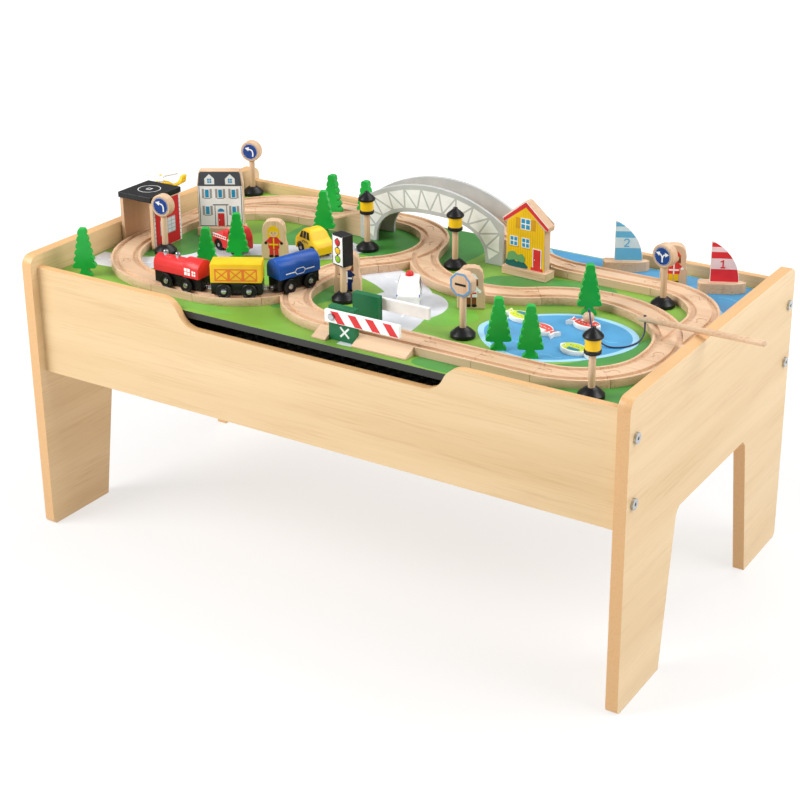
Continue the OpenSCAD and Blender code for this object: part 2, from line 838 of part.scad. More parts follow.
// Ends of a piece: 1 is a peg, -1 a socket, 0 plain; a turned child looks out of the end
module end_joint(kind, cut) {
    if (kind > 0 && !cut)
        peg();
    if (kind < 0 && cut)
        rotate(180)
            joint_socket();
}

module bend_track(middle, radius, from, to, first, last) {
    translate([middle.x, middle.y, board_z])
        difference() {
            union() {
                difference() {
                    bend_body(radius, from, to);
                    bend_grooves(radius, from, to);
                }
                rotate(to)
                    translate([radius, 0, 0])
                        end_joint(last, false);
                rotate(from)
                    translate([radius, 0, 0])
                        rotate(180)
                            end_joint(first, false);
            }
            rotate(to)
                translate([radius, 0, 0])
                    end_joint(last, true);
            rotate(from)
                translate([radius, 0, 0])
                    rotate(180)
                        end_joint(first, true);
        }
}

module line_track(start, turn, length, first, last) {
    translate([start.x, start.y, board_z])
        rotate(turn - 90)
            difference() {
                union() {
                    difference() {
                        run_body(length);
                        run_grooves(length);
                    }
                    translate([0, length, 0])
                        end_joint(last, false);
                    rotate(180)
                        end_joint(first, false);
                }
                translate([0, length, 0])
                    end_joint(last, true);
                rotate(180)
                    end_joint(first, true);
            }
}

module curved_tracks() {
    color("BurlyWood") {
        bend_track(left_c, big_r, 180, 180 + half_turn, -1, 1);
        bend_track(left_c, big_r, 180 + half_turn, 270, -1, 1);
        bend_track(ramp_c, big_r, 90, 180 - fork_reach, -1, 1);
        bend_track(rear_c, big_r, 90, 180 - fork_reach, -1, 1);
        bend_track(train_c, small_r, -90, -half_turn, -1, 1);
        bend_track(gate_c, small_r, 180 + half_turn, 270, -1, 1);
        bend_track(link_c, small_r, link_turn, 180, 1, -1);
        bend_track(loop_c, small_r, fork_turn, loop_half, -1, 1);
        bend_track(loop_c, small_r, loop_half, 90, -1, 1);
        bend_track(bow_c, big_r, 180 + fork_turn + bow_reach, 270, 1, -1);
        bend_track(bow_c, big_r, -90, -bow_turn, 1, -1);
        bend_track(pond_c, big_r, pond_reach, 90, -1, 1);
        bend_track(pond_c, big_r, 90, 180 - bow_turn, -1, 1);
        bend_track(corner_c, small_r, -90, -half_turn, -1, 1);
        bend_track(corner_c, small_r, -half_turn, 0, -1, 1);
        bend_track(outer_c, small_r, 0, half_turn, -1, 1);
        bend_track(outer_c, small_r, half_turn, 90, -1, 1);
    }
}

module straight_tracks() {
    front_left = train_c.x - left_c.x;
    front_right = (corner_c.x - cross_l0 - cross_l) / 2;
    rear_half = (loop_c.x - rear_c.x) / 2;
    outer_l = outer_c.x - bridge_r0 - ramp_l;
    color("BurlyWood") {
        line_track([left_c.x, front_y], 0, front_left, -1, 1);
        line_track([cross_l0 + cross_l, front_y], 0, front_right, -1, 1);
        line_track([cross_l0 + cross_l + front_right, front_y], 0, front_right, -1, 1);
        line_track([left_x, ramp_c.y], -90, ramp_c.y - left_c.y, -1, 1);
        line_track([loop_c.x, rear_y], 180, rear_half, -1, 1);
        line_track([loop_c.x - rear_half, rear_y], 180, rear_half, -1, 1);
        line_track([outer_c.x, bridge_y], 180, outer_l, -1, 1);
    }
}

module place_bend(middle) {
    translate([middle.x, middle.y, board_z])
        children();
}

module place_run(start, turn) {
    translate([start.x, start.y, board_z])
        rotate(turn - 90)
            children();
}

// The end of a bend at one angle, as its peg or its socket
module bend_end(middle, radius, turn, kind, cut) {
    place_bend(middle)
        rotate(turn)
            translate([radius, 0, 0])
                end_joint(kind, cut);
}

module bend_start(middle, radius, turn, kind, cut) {
    place_bend(middle)
        rotate(turn)
            translate([radius, 0, 0])
                rotate(180)
                    end_joint(kind, cut);
}

module run_end(at, turn, kind, cut) {
    place_run(at, turn)
        end_joint(kind, cut);
}

// A switch is one outline: the two sides of its left way and of its right way, from the stem on.
// Its sides lie off the middle by offs, and run past the ends, or short of them below 0.
function bend_line(middle, radius, from, to) = [for (k = [0 : switch_steps])
    let (turn = from + (to - from) * k / switch_steps)
    middle + radius * [cos(turn), sin(turn)]];

// Where two sides cross: the place along each, and the point
function sides_cross(a, b) = [for (i = [0 : len(a) - 2]) for (j = [0 : len(b) - 2])
    let (u = a[i + 1] - a[i], v = b[j + 1] - b[j], w = b[j] - a[i],
        s = cross(w, v) / cross(u, v), t = cross(w, u) / cross(u, v))
    if (s >= 0 && s < 1 && t >= 0 && t < 1) [i, j, a[i] + s * u]][0];

function back(side, from) = [for (i = [len(side) - 1 : -1 : from]) side[i]];

function fork_outline(left, right) =
    let (fork = sides_cross(left[1], right[0]))
    concat(left[0], back(left[1], fork[0] + 1), [fork[2]],
        [for (j = [fork[1] + 1 : len(right[0]) - 1]) right[0][j]], back(right[1], 0));

function left_fork(offs, past) =
    let (turn = arc_turn(past, big_r), last = 180 - fork_reach - turn)
    fork_outline(
        [for (o = offs) concat([[left_x + o, ramp_c.y - past]], bend_line(rear_c, big_r - o, 180, last))],
        [for (o = offs) bend_line(ramp_c, big_r - o, 180 + turn, last)]);

function middle_fork(offs, past) =
    let (turn = half_turn + arc_turn(past, small_r), stem = link_c.y + past)
    fork_outline(
        [for (o = offs) concat([[middle_x + o, stem]], bend_line(train_c, small_r + o, 0, -turn))],
        [for (o = offs) concat([[middle_x + o, stem]], bend_line(gate_c, small_r - o, 180, 180 + turn))]);

function loop_fork(offs, past) =
    let (small = arc_turn(past, small_r), big = arc_turn(past, big_r), out = 180 + fork_turn)
    fork_outline(
        [for (o = offs) bend_line(loop_c, small_r + o, fork_turn + small, link_turn - 180 - small)],
        [for (o = offs) bend_line(bow_c, big_r - o, out - big, out + bow_reach + big)]);

function right_fork(offs, past) =
    let (turn = pond_reach + arc_turn(past, big_r), stem = corner_c.y - past)
    fork_outline(
        [for (o = offs) concat([[right_x + o, stem]], bend_line(pond_c, big_r + o, 0, turn))],
        [for (o = offs) [[right_x + o, stem], [right_x + o, outer_c.y + past]]]);

function fork_at(which, offs, past) =
    which == 0 ? left_fork(offs, past) :
    which == 1 ? middle_fork(offs, past) :
    which == 2 ? loop_fork(offs, past) : right_fork(offs, past);

module fork_ends(which, cut) {
    if (which == 0) {
        bend_start(ramp_c, big_r, 180 - fork_reach, -1, cut);
        bend_start(rear_c, big_r, 180 - fork_reach, -1, cut);
        run_end([left_x, ramp_c.y], -90, 1, cut);
    }
    if (which == 1) {
        bend_start(train_c, small_r, -half_turn, -1, cut);
        bend_end(gate_c, small_r, 180 + half_turn, 1, cut);
        run_end([middle_x, link_c.y], 90, 1, cut);
    }
    if (which == 2) {
        bend_start(loop_c, small_r, link_turn - 180, -1, cut);
        bend_end(bow_c, big_r, 180 + fork_turn + bow_reach, -1, cut);
        bend_end(loop_c, small_r, fork_turn, 1, cut);
    }
    if (which == 3) {
        run_end([right_x, corner_c.y], -90, -1, cut);
        run_end([right_x, outer_c.y], 90, 1, cut);
        bend_end(pond_c, big_r, pond_reach, 1, cut);
    }
}

function groove_sides(side) = [for (edge = [-1, 1]) (side * gauge + edge * groove_w) / 2];

module switch_piece(which) {
    half_w = track_w / 2;
    difference() {
        union() {
            difference() {
                translate([0, 0, board_z])
                    linear_extrude(track_t)
                        polygon(fork_at(which, [-half_w, half_w], -seam / 2));
                for (side = [-1, 1])
                    translate([0, 0, rail_z])
                        linear_extrude(groove_d + over)
                            polygon(fork_at(which, groove_sides(side), over));
            }
            fork_ends(which, false);
        }
        fork_ends(which, true);
    }
}

module switch_tracks() {
    color("BurlyWood")
    for (which = [0 : 3])
        switch_piece(which);
}

// A ramp's side view, level with the track at its foot; the top follows one arc
module ramp_outline(length, lower) {
    rise = deck_end_h - track_t;
    bow = (length * length + rise * rise) / (2 * rise);
    difference() {
        square([length, deck_end_h - lower]);
        translate([0, track_t - lower + bow])
            circle(bow);
    }
}

// Five strips side by side: lands at full height, grooves lowered
module grooved() {
    inner = gauge / 2 - groove_w / 2;
    outer = gauge / 2 + groove_w / 2;
    for (strip = [[-track_w / 2, -outer], [-inner, inner], [outer, track_w / 2]])
        translate([0, strip[1], 0])
            rotate([90, 0, 0])
                linear_extrude(strip[1] - strip[0])
                    children(0);
    for (side = [-1, 1])
        translate([0, side * gauge / 2 + groove_w / 2, 0])
            rotate([90, 0, 0])
                linear_extrude(groove_w)
                    children(1);
}

module ramp_tracks() {
    left_l = bridge_l0 - ramp_c.x;
    color("BurlyWood") {
        translate([ramp_c.x + seam / 2, bridge_y, board_z]) {
            grooved() {
                ramp_outline(left_l - seam, 0);
                ramp_outline(left_l - seam, groove_d);
            }
            rotate(90)
                peg();
        }
        difference() {
            translate([bridge_r0 + ramp_l - seam / 2, bridge_y, board_z])
                mirror([1, 0, 0])
                    grooved() {
                        ramp_outline(ramp_l - seam, 0);
                        ramp_outline(ramp_l - seam, groove_d);
                    }
            translate([bridge_r0 + ramp_l, bridge_y, board_z])
                rotate(90)
                    joint_socket();
        }
    }
}

// Bridge

module bridge_outline() {
    difference() {
        intersection() {
            translate([-bridge_l / 2, 0])
                square([bridge_l, bridge_h]);
            translate([0, bridge_h - bridge_rim_r])
                circle(bridge_rim_r, $fn = 128);
        }
        polygon([for (a = [0 : 6 : 180])
            [bridge_span / 2 * sign(cos(a)) * pow(abs(cos(a)), arch_power),
                bridge_arch_h * pow(abs(sin(a)), arch_power) - (sin(a) < 0.01 ? over : 0)]]);
    }
}

module bridge_sides() {
    color("LightGray")
    for (side = [-1, 1])
        translate([bridge_x, bridge_y + side * (track_w + bridge_side_t) / 2 + bridge_side_t / 2, board_z])
            rotate([90, 0, 0])
                linear_extrude(bridge_side_t)
                    bridge_outline();
}

module deck_outline(lower) {
    intersection() {
        translate([-bridge_l / 2, 0])
            square([bridge_l, bridge_h]);
        difference() {
            translate([0, deck_h - lower - deck_r])
                circle(deck_r, $fn = 128);
            translate([0, deck_h - deck_t - deck_r])
                circle(deck_r, $fn = 128);
        }
    }
}

module bridge_deck() {
    color("BurlyWood")
    translate([bridge_x, bridge_y, board_z])
        grooved() {
            deck_outline(0);
            deck_outline(groove_d);
        }
}

// Level crossing

module crossing_track() {
    half = cross_w / 2;
    color("BurlyWood")
    difference() {
        union() {
            translate([cross_l0, front_y, board_z])
                rotate([90, 0, 90])
                    linear_extrude(cross_l - seam)
                        polygon([[-half, 0], [half, 0], [half, cross_edge_t], [track_w / 2, track_t],
                            [-track_w / 2, track_t], [-half, cross_edge_t]]);
            translate([cross_l0 + cross_l - seam, front_y, board_z])
                rotate(-90)
                    peg();
        }
        translate([cross_l0, front_y, board_z])
            rotate(-90)
                run_grooves(cross_l);
        translate([cross_l0 - seam / 2, front_y, board_z])
            rotate(-90)
                joint_socket();
        for (side = [-1, 1])
            translate([block_x, front_y + side * (block_in - seam / 2 + half), board_z + track_t / 2])
                cube([block_w + seam, 2 * half, track_t + 2 * over], center = true);
    }
}

module gate_blocks() {
    color("SeaGreen")
    for (side = [-1, 1])
        translate([0, front_y, 0]) {
            translate([block_x - block_w / 2, side * (block_in + block_t / 2) - block_t / 2, board_z])
                cube([block_w, block_t, block_h]);
            translate([pin_at_x, side * block_out, pin_at_z])
                rotate([-90 * side, 0, 0]) {
                    translate([0, 0, -over])
                        cylinder(h = arm_t + 2 * arm_play + over, r = pin_r);
                    translate([0, 0, arm_t + 2 * arm_play])
                        cylinder(h = pin_head_t, r = pin_head_r);
                }
        }
}

module gate_arm(side) {
    color("White")
    translate([pin_at_x, front_y + side * (arm_in + arm_t / 2), pin_at_z])
        difference() {
            translate([-arm_tail, -arm_t / 2, -arm_h / 2])
                cube([arm_l, arm_t, arm_h]);
            rotate([90, 0, 0])
                cylinder(h = arm_t + 2 * over, r = pin_r + axle_fit, center = true);
        }
}

module front_gate_arm() {
    gate_arm(-1);
}

module rear_gate_arm() {
    gate_arm(1);
}

// Train

module at_car(at, turn) {
    translate([at.x, at.y, 0])
        rotate(turn)
            children();
}

module wheel_pair(along, spacing, height, radius, width) {
    color("Black")
    translate([along, 0, height])
        rotate([90, 0, 0]) {
            cylinder(h = spacing, r = axle_r, center = true);
            for (side = [-1, 1])
                translate([0, 0, side * spacing / 2]) {
                    cylinder(h = width, r = radius, center = true);
                    translate([0, 0, side * (width + cap_t) / 2])
                        cylinder(h = cap_t, r = cap_r, center = true);
                }
        }
}

module car_frame(length) {
    color("Black")
    difference() {
        translate([-length / 2, -frame_w / 2, frame_z])
            cube([length, frame_w, coach_z - frame_z]);
        for (end = [-1, 1])
            translate([end * wheel_base / 2, 0, axle_z])
                rotate([90, 0, 0])
                    cylinder(h = frame_w + 2 * over, r = axle_r + axle_fit, center = true);
    }
}

// A body with a rounded top along the car
module round_coach(from, length, radius, height) {
    translate([from, 0, coach_z])
        rotate([90, 0, 90])
            linear_extrude(length) {
                translate([-radius, 0])
                    square([2 * radius, height - radius]);
                intersection() {
                    translate([0, height - radius])
                        circle(radius);
                    translate([-radius, 0])
                        square([2 * radius, height]);
                }
            }
}

module at_engine() {
    at_car(engine_at, 180)
        children();
}

module at_boxcar() {
    at_car(boxcar_at, boxcar_turn - 90)
        children();
}

module at_tanker() {
    at_car(tanker_at, tanker_turn - 90)
        children();
}

module engine_frame() {
    at_engine()
        car_frame(engine_l);
}

module engine_body() {
    color("Red")
    at_engine() {
        round_coach(-engine_l / 2, cab_l, coach_w / 2, cab_h);
        round_coach(-engine_l / 2 + cab_l - over, engine_l - cab_l + over, boiler_r, boiler_h);
        for (share = dome_shares)
            translate([-engine_l / 2 + cab_l + share * (engine_l - cab_l), 0, coach_z + boiler_h - over])
                cylinder(h = dome_h + over, r = dome_r);
    }
}

module engine_front_wheels() {
    at_engine()
        wheel_pair(wheel_base / 2, axle_l - wheel_w, axle_z, wheel_r, wheel_w);
}

module engine_rear_wheels() {
    at_engine()
        wheel_pair(-wheel_base / 2, axle_l - wheel_w, axle_z, wheel_r, wheel_w);
}

module boxcar_frame() {
    at_boxcar()
        car_frame(wagon_l);
}

module boxcar_body() {
    color("Gold")
    at_boxcar()
        translate([-wagon_l / 2, -coach_w / 2, coach_z])
            cube([wagon_l, coach_w, coach_h]);
}

module boxcar_front_wheels() {
    at_boxcar()
        wheel_pair(wheel_base / 2, axle_l - wheel_w, axle_z, wheel_r, wheel_w);
}

module boxcar_rear_wheels() {
    at_boxcar()
        wheel_pair(-wheel_base / 2, axle_l - wheel_w, axle_z, wheel_r, wheel_w);
}

module tanker_frame() {
    at_tanker()
        car_frame(wagon_l);
}

module tanker_body() {
    color("RoyalBlue")
    at_tanker()
        round_coach(-wagon_l / 2, wagon_l, coach_w / 2, coach_h);
}

module tanker_front_wheels() {
    at_tanker()
        wheel_pair(wheel_base / 2, axle_l - wheel_w, axle_z, wheel_r, wheel_w);
}

module tanker_rear_wheels() {
    at_tanker()
        wheel_pair(-wheel_base / 2, axle_l - wheel_w, axle_z, wheel_r, wheel_w);
}

module magnet_pair(length) {
    color("Silver")
    for (end = [-1, 1])
        translate([end * (length + magnet_l) / 2, 0, axle_z])
            rotate([0, 90, 0])
                cylinder(h = magnet_l, r = magnet_r, center = true);
}

module engine_couplings() {
    at_engine()
        magnet_pair(engine_l);
}

module wagon_couplings() {
    at_boxcar()
        magnet_pair(wagon_l);
    at_tanker()
        magnet_pair(wagon_l);
}

// Things that stand on the board

function spot(place_share) = spots[place_share[0]] + big_r * [place_share[1], place_share[2]];

module on_board(place_share, turn = 0) {
    at = spot(place_share);
    translate([at.x, at.y, board_z])
        rotate(turn)
            children();
}

// Road toys

module side_view(shares, length, height) {
    polygon([for (p = shares) [(p.x - 0.5) * length, p.y * height]]);
}

module at_toy(place_share, turn) {
    at_car(spot(place_share), turn)
        children();
}

// A body that is its side view one way and the rounded front view the other way
module rounded_body(shares, length, width, height) {
    intersection() {
        translate([0, width / 2 + over, 0])
            rotate([90, 0, 0])
                linear_extrude(width + 2 * over)
                    side_view(shares, length, height);
        translate([-length / 2 - over, 0, 0])
            rotate([90, 0, 90])
                linear_extrude(length + 2 * over)
                    polygon([for (p = front_shares) [p.x * width, p.y * height]]);
    }
}

module car_body(shares) {
    difference() {
        translate([0, 0, board_z + car_low])
            rounded_body(shares, car_l, car_w, car_h - car_low);
        for (end = [-1, 1])
            translate([end * car_base / 2, 0, car_axle_z])
                rotate([90, 0, 0]) {
                    cylinder(h = car_w + 2 * over, r = axle_r + axle_fit, center = true);
                    for (side = [-1, 1])
                        translate([0, 0, side * (tyre_in + car_w / 2) / 2])
                            cylinder(h = car_w / 2 - tyre_in + over, r = tyre_r + tyre_play, center = true);
                }
    }
}

module roof_light(along_share, roof_share) {
    translate([(along_share - 0.5) * car_l, 0, board_z + car_low + roof_share * (car_h - car_low) - over])
        cylinder(h = light_h + over, r = light_r);
}

module car_wheels(end) {
    wheel_pair(end * car_base / 2, car_w - tyre_w - 2 * cap_t, car_axle_z, tyre_r, tyre_w);
}

module taxi_body() {
    color("Gold")
    at_toy(taxi_place_share, taxi_turn)
        car_body(taxi_shares);
}

module taxi_front_wheels() {
    at_toy(taxi_place_share, taxi_turn)
        car_wheels(1);
}

module taxi_rear_wheels() {
    at_toy(taxi_place_share, taxi_turn)
        car_wheels(-1);
}

module truck_body() {
    color("Crimson")
    at_toy(truck_place_share, truck_turn) {
        car_body(truck_shares);
        roof_light(truck_light_share, truck_roof_share);
    }
}

module truck_front_wheels() {
    at_toy(truck_place_share, truck_turn)
        car_wheels(1);
}

module truck_rear_wheels() {
    at_toy(truck_place_share, truck_turn)
        car_wheels(-1);
}

module police_body() {
    color("WhiteSmoke")
    at_toy(police_place_share, police_turn) {
        car_body(police_shares);
        roof_light(police_light_share, police_roof_share);
    }
}

module police_front_wheels() {
    at_toy(police_place_share, police_turn)
        car_wheels(1);
}

module police_rear_wheels() {
    at_toy(police_place_share, police_turn)
        car_wheels(-1);
}

module at_copter() {
    translate([-(table_l - end_t) / 2, copter_y, table_h])
        rotate(-90)
            children();
}

module helicopter_body() {
    boom_low = copter_boom_shares[0] * copter_h;
    boom_high = copter_boom_shares[1] * copter_h;
    boom_in = -copter_l / 2 + copter_root_share * copter_l;
    boom_out = -copter_l / 2 - tail_l;
    fin_z = copter_fin_share * copter_h;
    mast_h = mast_share * copter_h;
    color("Gold")
    at_copter() {
        rounded_body(copter_shares, copter_l, copter_w, copter_h);
        translate([0, tail_w / 2, 0])
            rotate([90, 0, 0])
                linear_extrude(tail_w)
                    polygon([[boom_in, boom_low], [boom_out, boom_high - tail_w / 2],
                        [boom_out - tail_w / 2, fin_z], [boom_out + tail_w, fin_z],
                        [boom_out + 2 * tail_w, boom_high], [boom_in, boom_high]]);
        translate([0, 0, copter_h - over]) {
            cylinder(h = over + mast_h + blade_t + arm_play + cap_t, r = axle_r);
            cylinder(h = over + mast_h - arm_play / 2, r = cap_r);
            translate([0, 0, over + mast_h + blade_t + arm_play / 2])
                cylinder(h = cap_t, r = cap_r);
        }
    }
}

module helicopter_rotor() {
    notch = blade_w / 2 / sin(60);
    blade_edge = [[rotor_r, -blade_w / 2], [rotor_r, blade_w / 2], [notch * cos(60), notch * sin(60)]];
    color("White")
    at_copter()
        translate([0, 0, copter_h * (1 + mast_share)])
            difference() {
                union() {
                    cylinder(h = blade_t, r = hub_r);
                    rotate(rotor_turn)
                        linear_extrude(blade_t)
                            polygon([for (turn = [0, 120, 240]) for (p = blade_edge)
                                [p.x * cos(turn) - p.y * sin(turn), p.x * sin(turn) + p.y * cos(turn)]]);
                }
                translate([0, 0, -over])
                    cylinder(h = blade_t + 2 * over, r = axle_r + axle_fit);
            }
}

// Buildings

module garage_walls() {
    color("Firebrick")
    for (side = [-1, 1])
        translate([garage_x + side * (garage_in + garage_wall_t) / 2, garage_y, board_z + garage_h / 2])
            cube([garage_wall_t, garage_l, garage_h], center = true);
}

module garage_roof() {
    color("DarkSlateGray")
    translate([garage_x, garage_y, board_z + garage_h + garage_roof_t / 2])
        cube([garage_in + 2 * garage_wall_t, garage_l + 2 * garage_eave, garage_roof_t], center = true);
}

module house(place_share, turn, shares) {
    on_board(place_share, turn) {
        translate([-(house_w + house_base_over) / 2, -house_base_w / 2, 0])
            cube([house_w + house_base_over, house_base_w, house_base_t]);
        translate([0, house_t / 2, house_base_t - over])
            rotate([90, 0, 0])
                linear_extrude(house_t)
                    polygon([for (p = shares) [p.x * house_w, p.y * house_h + over * (p.y > 0 ? 1 : 0)]]);
    }
}

module white_house() {
    color("Gainsboro")
    house(white_place_share, white_turn, white_shares);
}

module yellow_house() {
    color("Gold")
    house(yellow_place_share, yellow_turn, yellow_shares);
}

// Posts and scenery

module posts() {
    color("BurlyWood") {
        for (place = concat(sign_place_shares, lamp_place_shares))
            on_board(place)
                translate([0, 0, foot_floor])
                    cylinder(h = post_h - foot_floor - sign_r + head_in, r = post_r);
        on_board(signal_place_share)
            translate([0, 0, foot_floor])
                cylinder(h = signal_z - foot_floor + head_in, r = post_r);
    }
}

module post_bases() {
    dome = foot_base_h - foot_rim_h;
    color("Black")
    for (place = concat(sign_place_shares, lamp_place_shares, [signal_place_share]))
        on_board(place)
            rotate_extrude()
                polygon(concat([[0, 0], [foot_base_r, 0], [foot_base_r, foot_rim_h]],
                    [for (p = foot_dome_shares) [p.x * foot_base_r, foot_rim_h + p.y * dome]],
                    [[post_r + post_fit, foot_base_h], [post_r + post_fit, foot_floor], [0, foot_floor]]));
}

// A head stands on its post: a bore from below, as deep as the post goes in
module head_bore() {
    translate([0, 0, -sign_r - over])
        cylinder(h = head_in + over, r = post_r + post_fit);
}

module sign_heads() {
    color("BurlyWood") {
        for (i = [0 : len(sign_turns) - 1])
            on_board(sign_place_shares[i], sign_turns[i])
                translate([0, 0, post_h])
                    difference() {
                        rotate([90, 0, 0])
                            if (i == octagon_sign)
                                rotate(180 / 8)
                                    cylinder(h = sign_t, r = sign_r / cos(180 / 8), center = true, $fn = 8);
                            else
                                cylinder(h = sign_t, r = sign_r, center = true);
                        head_bore();
                    }
        on_board(signal_place_share, signal_turn)
            translate([0, 0, signal_z])
                difference() {
                    translate([-signal_w / 2, -signal_t / 2, 0])
                        cube([signal_w, signal_t, signal_h]);
                    translate([0, 0, sign_r])
                        head_bore();
                }
    }
}

module lamp_heads() {
    low = post_h - sign_r;
    ring_top = low + lamp_ring_h;
    barrel_top = ring_top + lamp_barrel_h;
    color("Gold")
    for (place = lamp_place_shares)
        on_board(place)
            rotate_extrude()
                polygon(concat([[post_r + post_fit, low], [lamp_ring_r, low], [lamp_ring_r, ring_top],
                    [lamp_r, ring_top], [lamp_r, barrel_top]],
                    [for (p = lamp_cap_shares) [p.x * lamp_cap_r, barrel_top + p.y * lamp_cap_h]],
                    [[0, low + head_in], [post_r + post_fit, low + head_in]]));
}

module post_heads() {
    sign_heads();
    lamp_heads();
}

// Half of a tree's outline, tier by tier from the foot to the tip
function tree_side() = concat(tree_foot_shares,
    [for (i = [0 : tree_tiers - 1]) for (p = tier_shares)
        [p.x * (1 - (1 - tree_tip_share) * i / tree_tiers),
            tree_neck_share + (1 - tree_neck_share) * (i + p.y) / tree_tiers]],
    [[tree_top_share, 1]]);

module trees() {
    half = tree_side();
    both = concat(half, [for (i = [len(half) - 1 : -1 : 0]) [-half[i].x, half[i].y]]);
    color("ForestGreen")
    for (i = [0 : len(tree_turns) - 1])
        on_board(tree_place_shares[i], tree_turns[i])
            translate([0, tree_t / 2, 0])
                rotate([90, 0, 0])
                    linear_extrude(tree_t)
                        polygon([for (p = both) [p.x * tree_w / 2, p.y * tree_h]]);
}

module figures() {
    both = concat(figure_shares, [for (i = [len(figure_shares) - 1 : -1 : 0])
        [-figure_shares[i].x, figure_shares[i].y]]);
    color("BurlyWood")
    for (i = [0 : len(figure_turns) - 1])
        on_board(figure_place_shares[i], figure_turns[i])
            translate([0, figure_t / 2, 0])
                rotate([90, 0, 0])
                    linear_extrude(figure_t)
                        polygon([for (p = both) [p.x * figure_w, p.y * figure_h]]);
}

module boat_hulls() {
    color("BurlyWood")
    for (i = [0 : len(boat_turns) - 1])
        on_board(boat_place_shares[i], boat_turns[i])
            difference() {
                linear_extrude(hull_h)
                    polygon([for (p = hull_shares) [p.x * hull_l, p.y * hull_w]]);
                translate([sail_share * hull_l - sail_fit, -sail_t / 2 - sail_fit, hull_h - sail_in])
                    cube([sail_l + 2 * sail_fit, sail_t + 2 * sail_fit, sail_in + over]);
            }
}

module boat_sails() {
    color("SkyBlue")
    for (i = [0 : len(boat_turns) - 1])
        on_board(boat_place_shares[i], boat_turns[i])
            translate([sail_share * hull_l, sail_t / 2, hull_h - sail_in])
                rotate([90, 0, 0])
                    linear_extrude(sail_t) {
                        square([sail_l, sail_in]);
                        translate([0, sail_in])
                            intersection() {
                                square([sail_l, sail_h]);
                                translate([sail_l - sail_r, 0])
                                    circle(sail_r);
                            }
                    }
}

module fish() {
    lens_r = (fish_l * fish_l + fish_w * fish_w) / (4 * fish_w);
    color("OrangeRed")
    for (i = [0 : len(fish_turns) - 1])
        on_board(fish_place_shares[i], fish_turns[i])
            linear_extrude(fish_t) {
                intersection() {
                    translate([0, lens_r - fish_w / 2])
                        circle(lens_r);
                    translate([0, fish_w / 2 - lens_r])
                        circle(lens_r);
                }
                polygon([for (p = tail_shares) [p.x * fish_l, p.y * fish_w]]);
            }
}

// Fishing game

module fishing_rod() {
    color("BurlyWood")
    translate([rod_tip.x, rod_tip.y, track_z + rod_play + rod_r])
        rotate([0, 90 - rod_tilt, rod_turn])
            cylinder(h = rod_l, r = rod_r);
}

// A point of the smooth curve through the route, at step t between points i and i + 1
function route_at(i, t) =
    let (last = len(line_route) - 1, a = line_route[max(i - 1, 0)], b = line_route[i],
        c = line_route[min(i + 1, last)], d = line_route[min(i + 2, last)])
    0.5 * (2 * b + (c - a) * t + (2 * a - 5 * b + 4 * c - d) * t * t + (3 * b - a - 3 * c + d) * t * t * t);

module fishing_line() {
    count = (len(line_route) - 1) * line_steps + 1;
    path = [for (k = [0 : count - 1]) route_at(floor(k / line_steps), (k % line_steps) / line_steps)];
    aim = [for (k = [0 : count - 1])
        let (v = path[min(k + 1, count - 1)] - path[max(k - 1, 0)]) v / norm(v)];
    across = [for (k = [0 : count - 1]) let (v = cross(aim[k], [0.36, 0.93, 0.05])) v / norm(v)];
    points = [for (k = [0 : count - 1]) for (s = [0 : line_sides - 1])
        let (turn = 360 * s / line_sides)
        path[k] + line_r * (cos(turn) * across[k] + sin(turn) * cross(aim[k], across[k]))];
    sides = [for (k = [0 : count - 2]) for (s = [0 : line_sides - 1])
        let (n = (s + 1) % line_sides, low = k * line_sides, high = low + line_sides)
        for (f = [[low + s, high + s, low + n], [low + n, high + s, high + n]]) f];
    caps = [[for (s = [0 : line_sides - 1]) s],
        [for (s = [line_sides - 1 : -1 : 0]) (count - 1) * line_sides + s]];
    color("MidnightBlue")
    polyhedron(points, concat(sides, caps));
}

module magnet_bead() {
    color("Tan")
    translate([bead_at.x, bead_at.y, board_z + fish_t + bead_low])
        intersection() {
            sphere(bead_r);
            translate([-bead_r, -bead_r, -bead_low])
                cube([2 * bead_r, 2 * bead_r, bead_low + bead_r]);
        }
}

left_end_panel();
right_end_panel();
front_panel();
back_panel();
shelf();
board_ledgers();
play_board();
building_plate();
panel_bolts();
barrel_nuts();
curved_tracks();
straight_tracks();
switch_tracks();
ramp_tracks();
crossing_track();
bridge_sides();
bridge_deck();
gate_blocks();
front_gate_arm();
rear_gate_arm();
engine_frame();
engine_body();
engine_front_wheels();
engine_rear_wheels();
boxcar_frame();
boxcar_body();
boxcar_front_wheels();
boxcar_rear_wheels();
tanker_frame();
tanker_body();
tanker_front_wheels();
tanker_rear_wheels();
engine_couplings();
wagon_couplings();
taxi_body();
taxi_front_wheels();
taxi_rear_wheels();
truck_body();
truck_front_wheels();
truck_rear_wheels();
police_body();
police_front_wheels();
police_rear_wheels();
helicopter_body();
helicopter_rotor();
garage_walls();
garage_roof();
white_house();
yellow_house();
trees();
figures();
posts();
post_bases();
post_heads();
boat_hulls();
boat_sails();
fish();
fishing_rod();
fishing_line();
magnet_bead();
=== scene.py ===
"""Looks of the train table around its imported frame. Sizes are in mm unless a name ends in _m or _M."""

from math import copysign, cos, dist, pi, radians, sin, sqrt

import bmesh
import bpy
from mathutils import Matrix, Vector


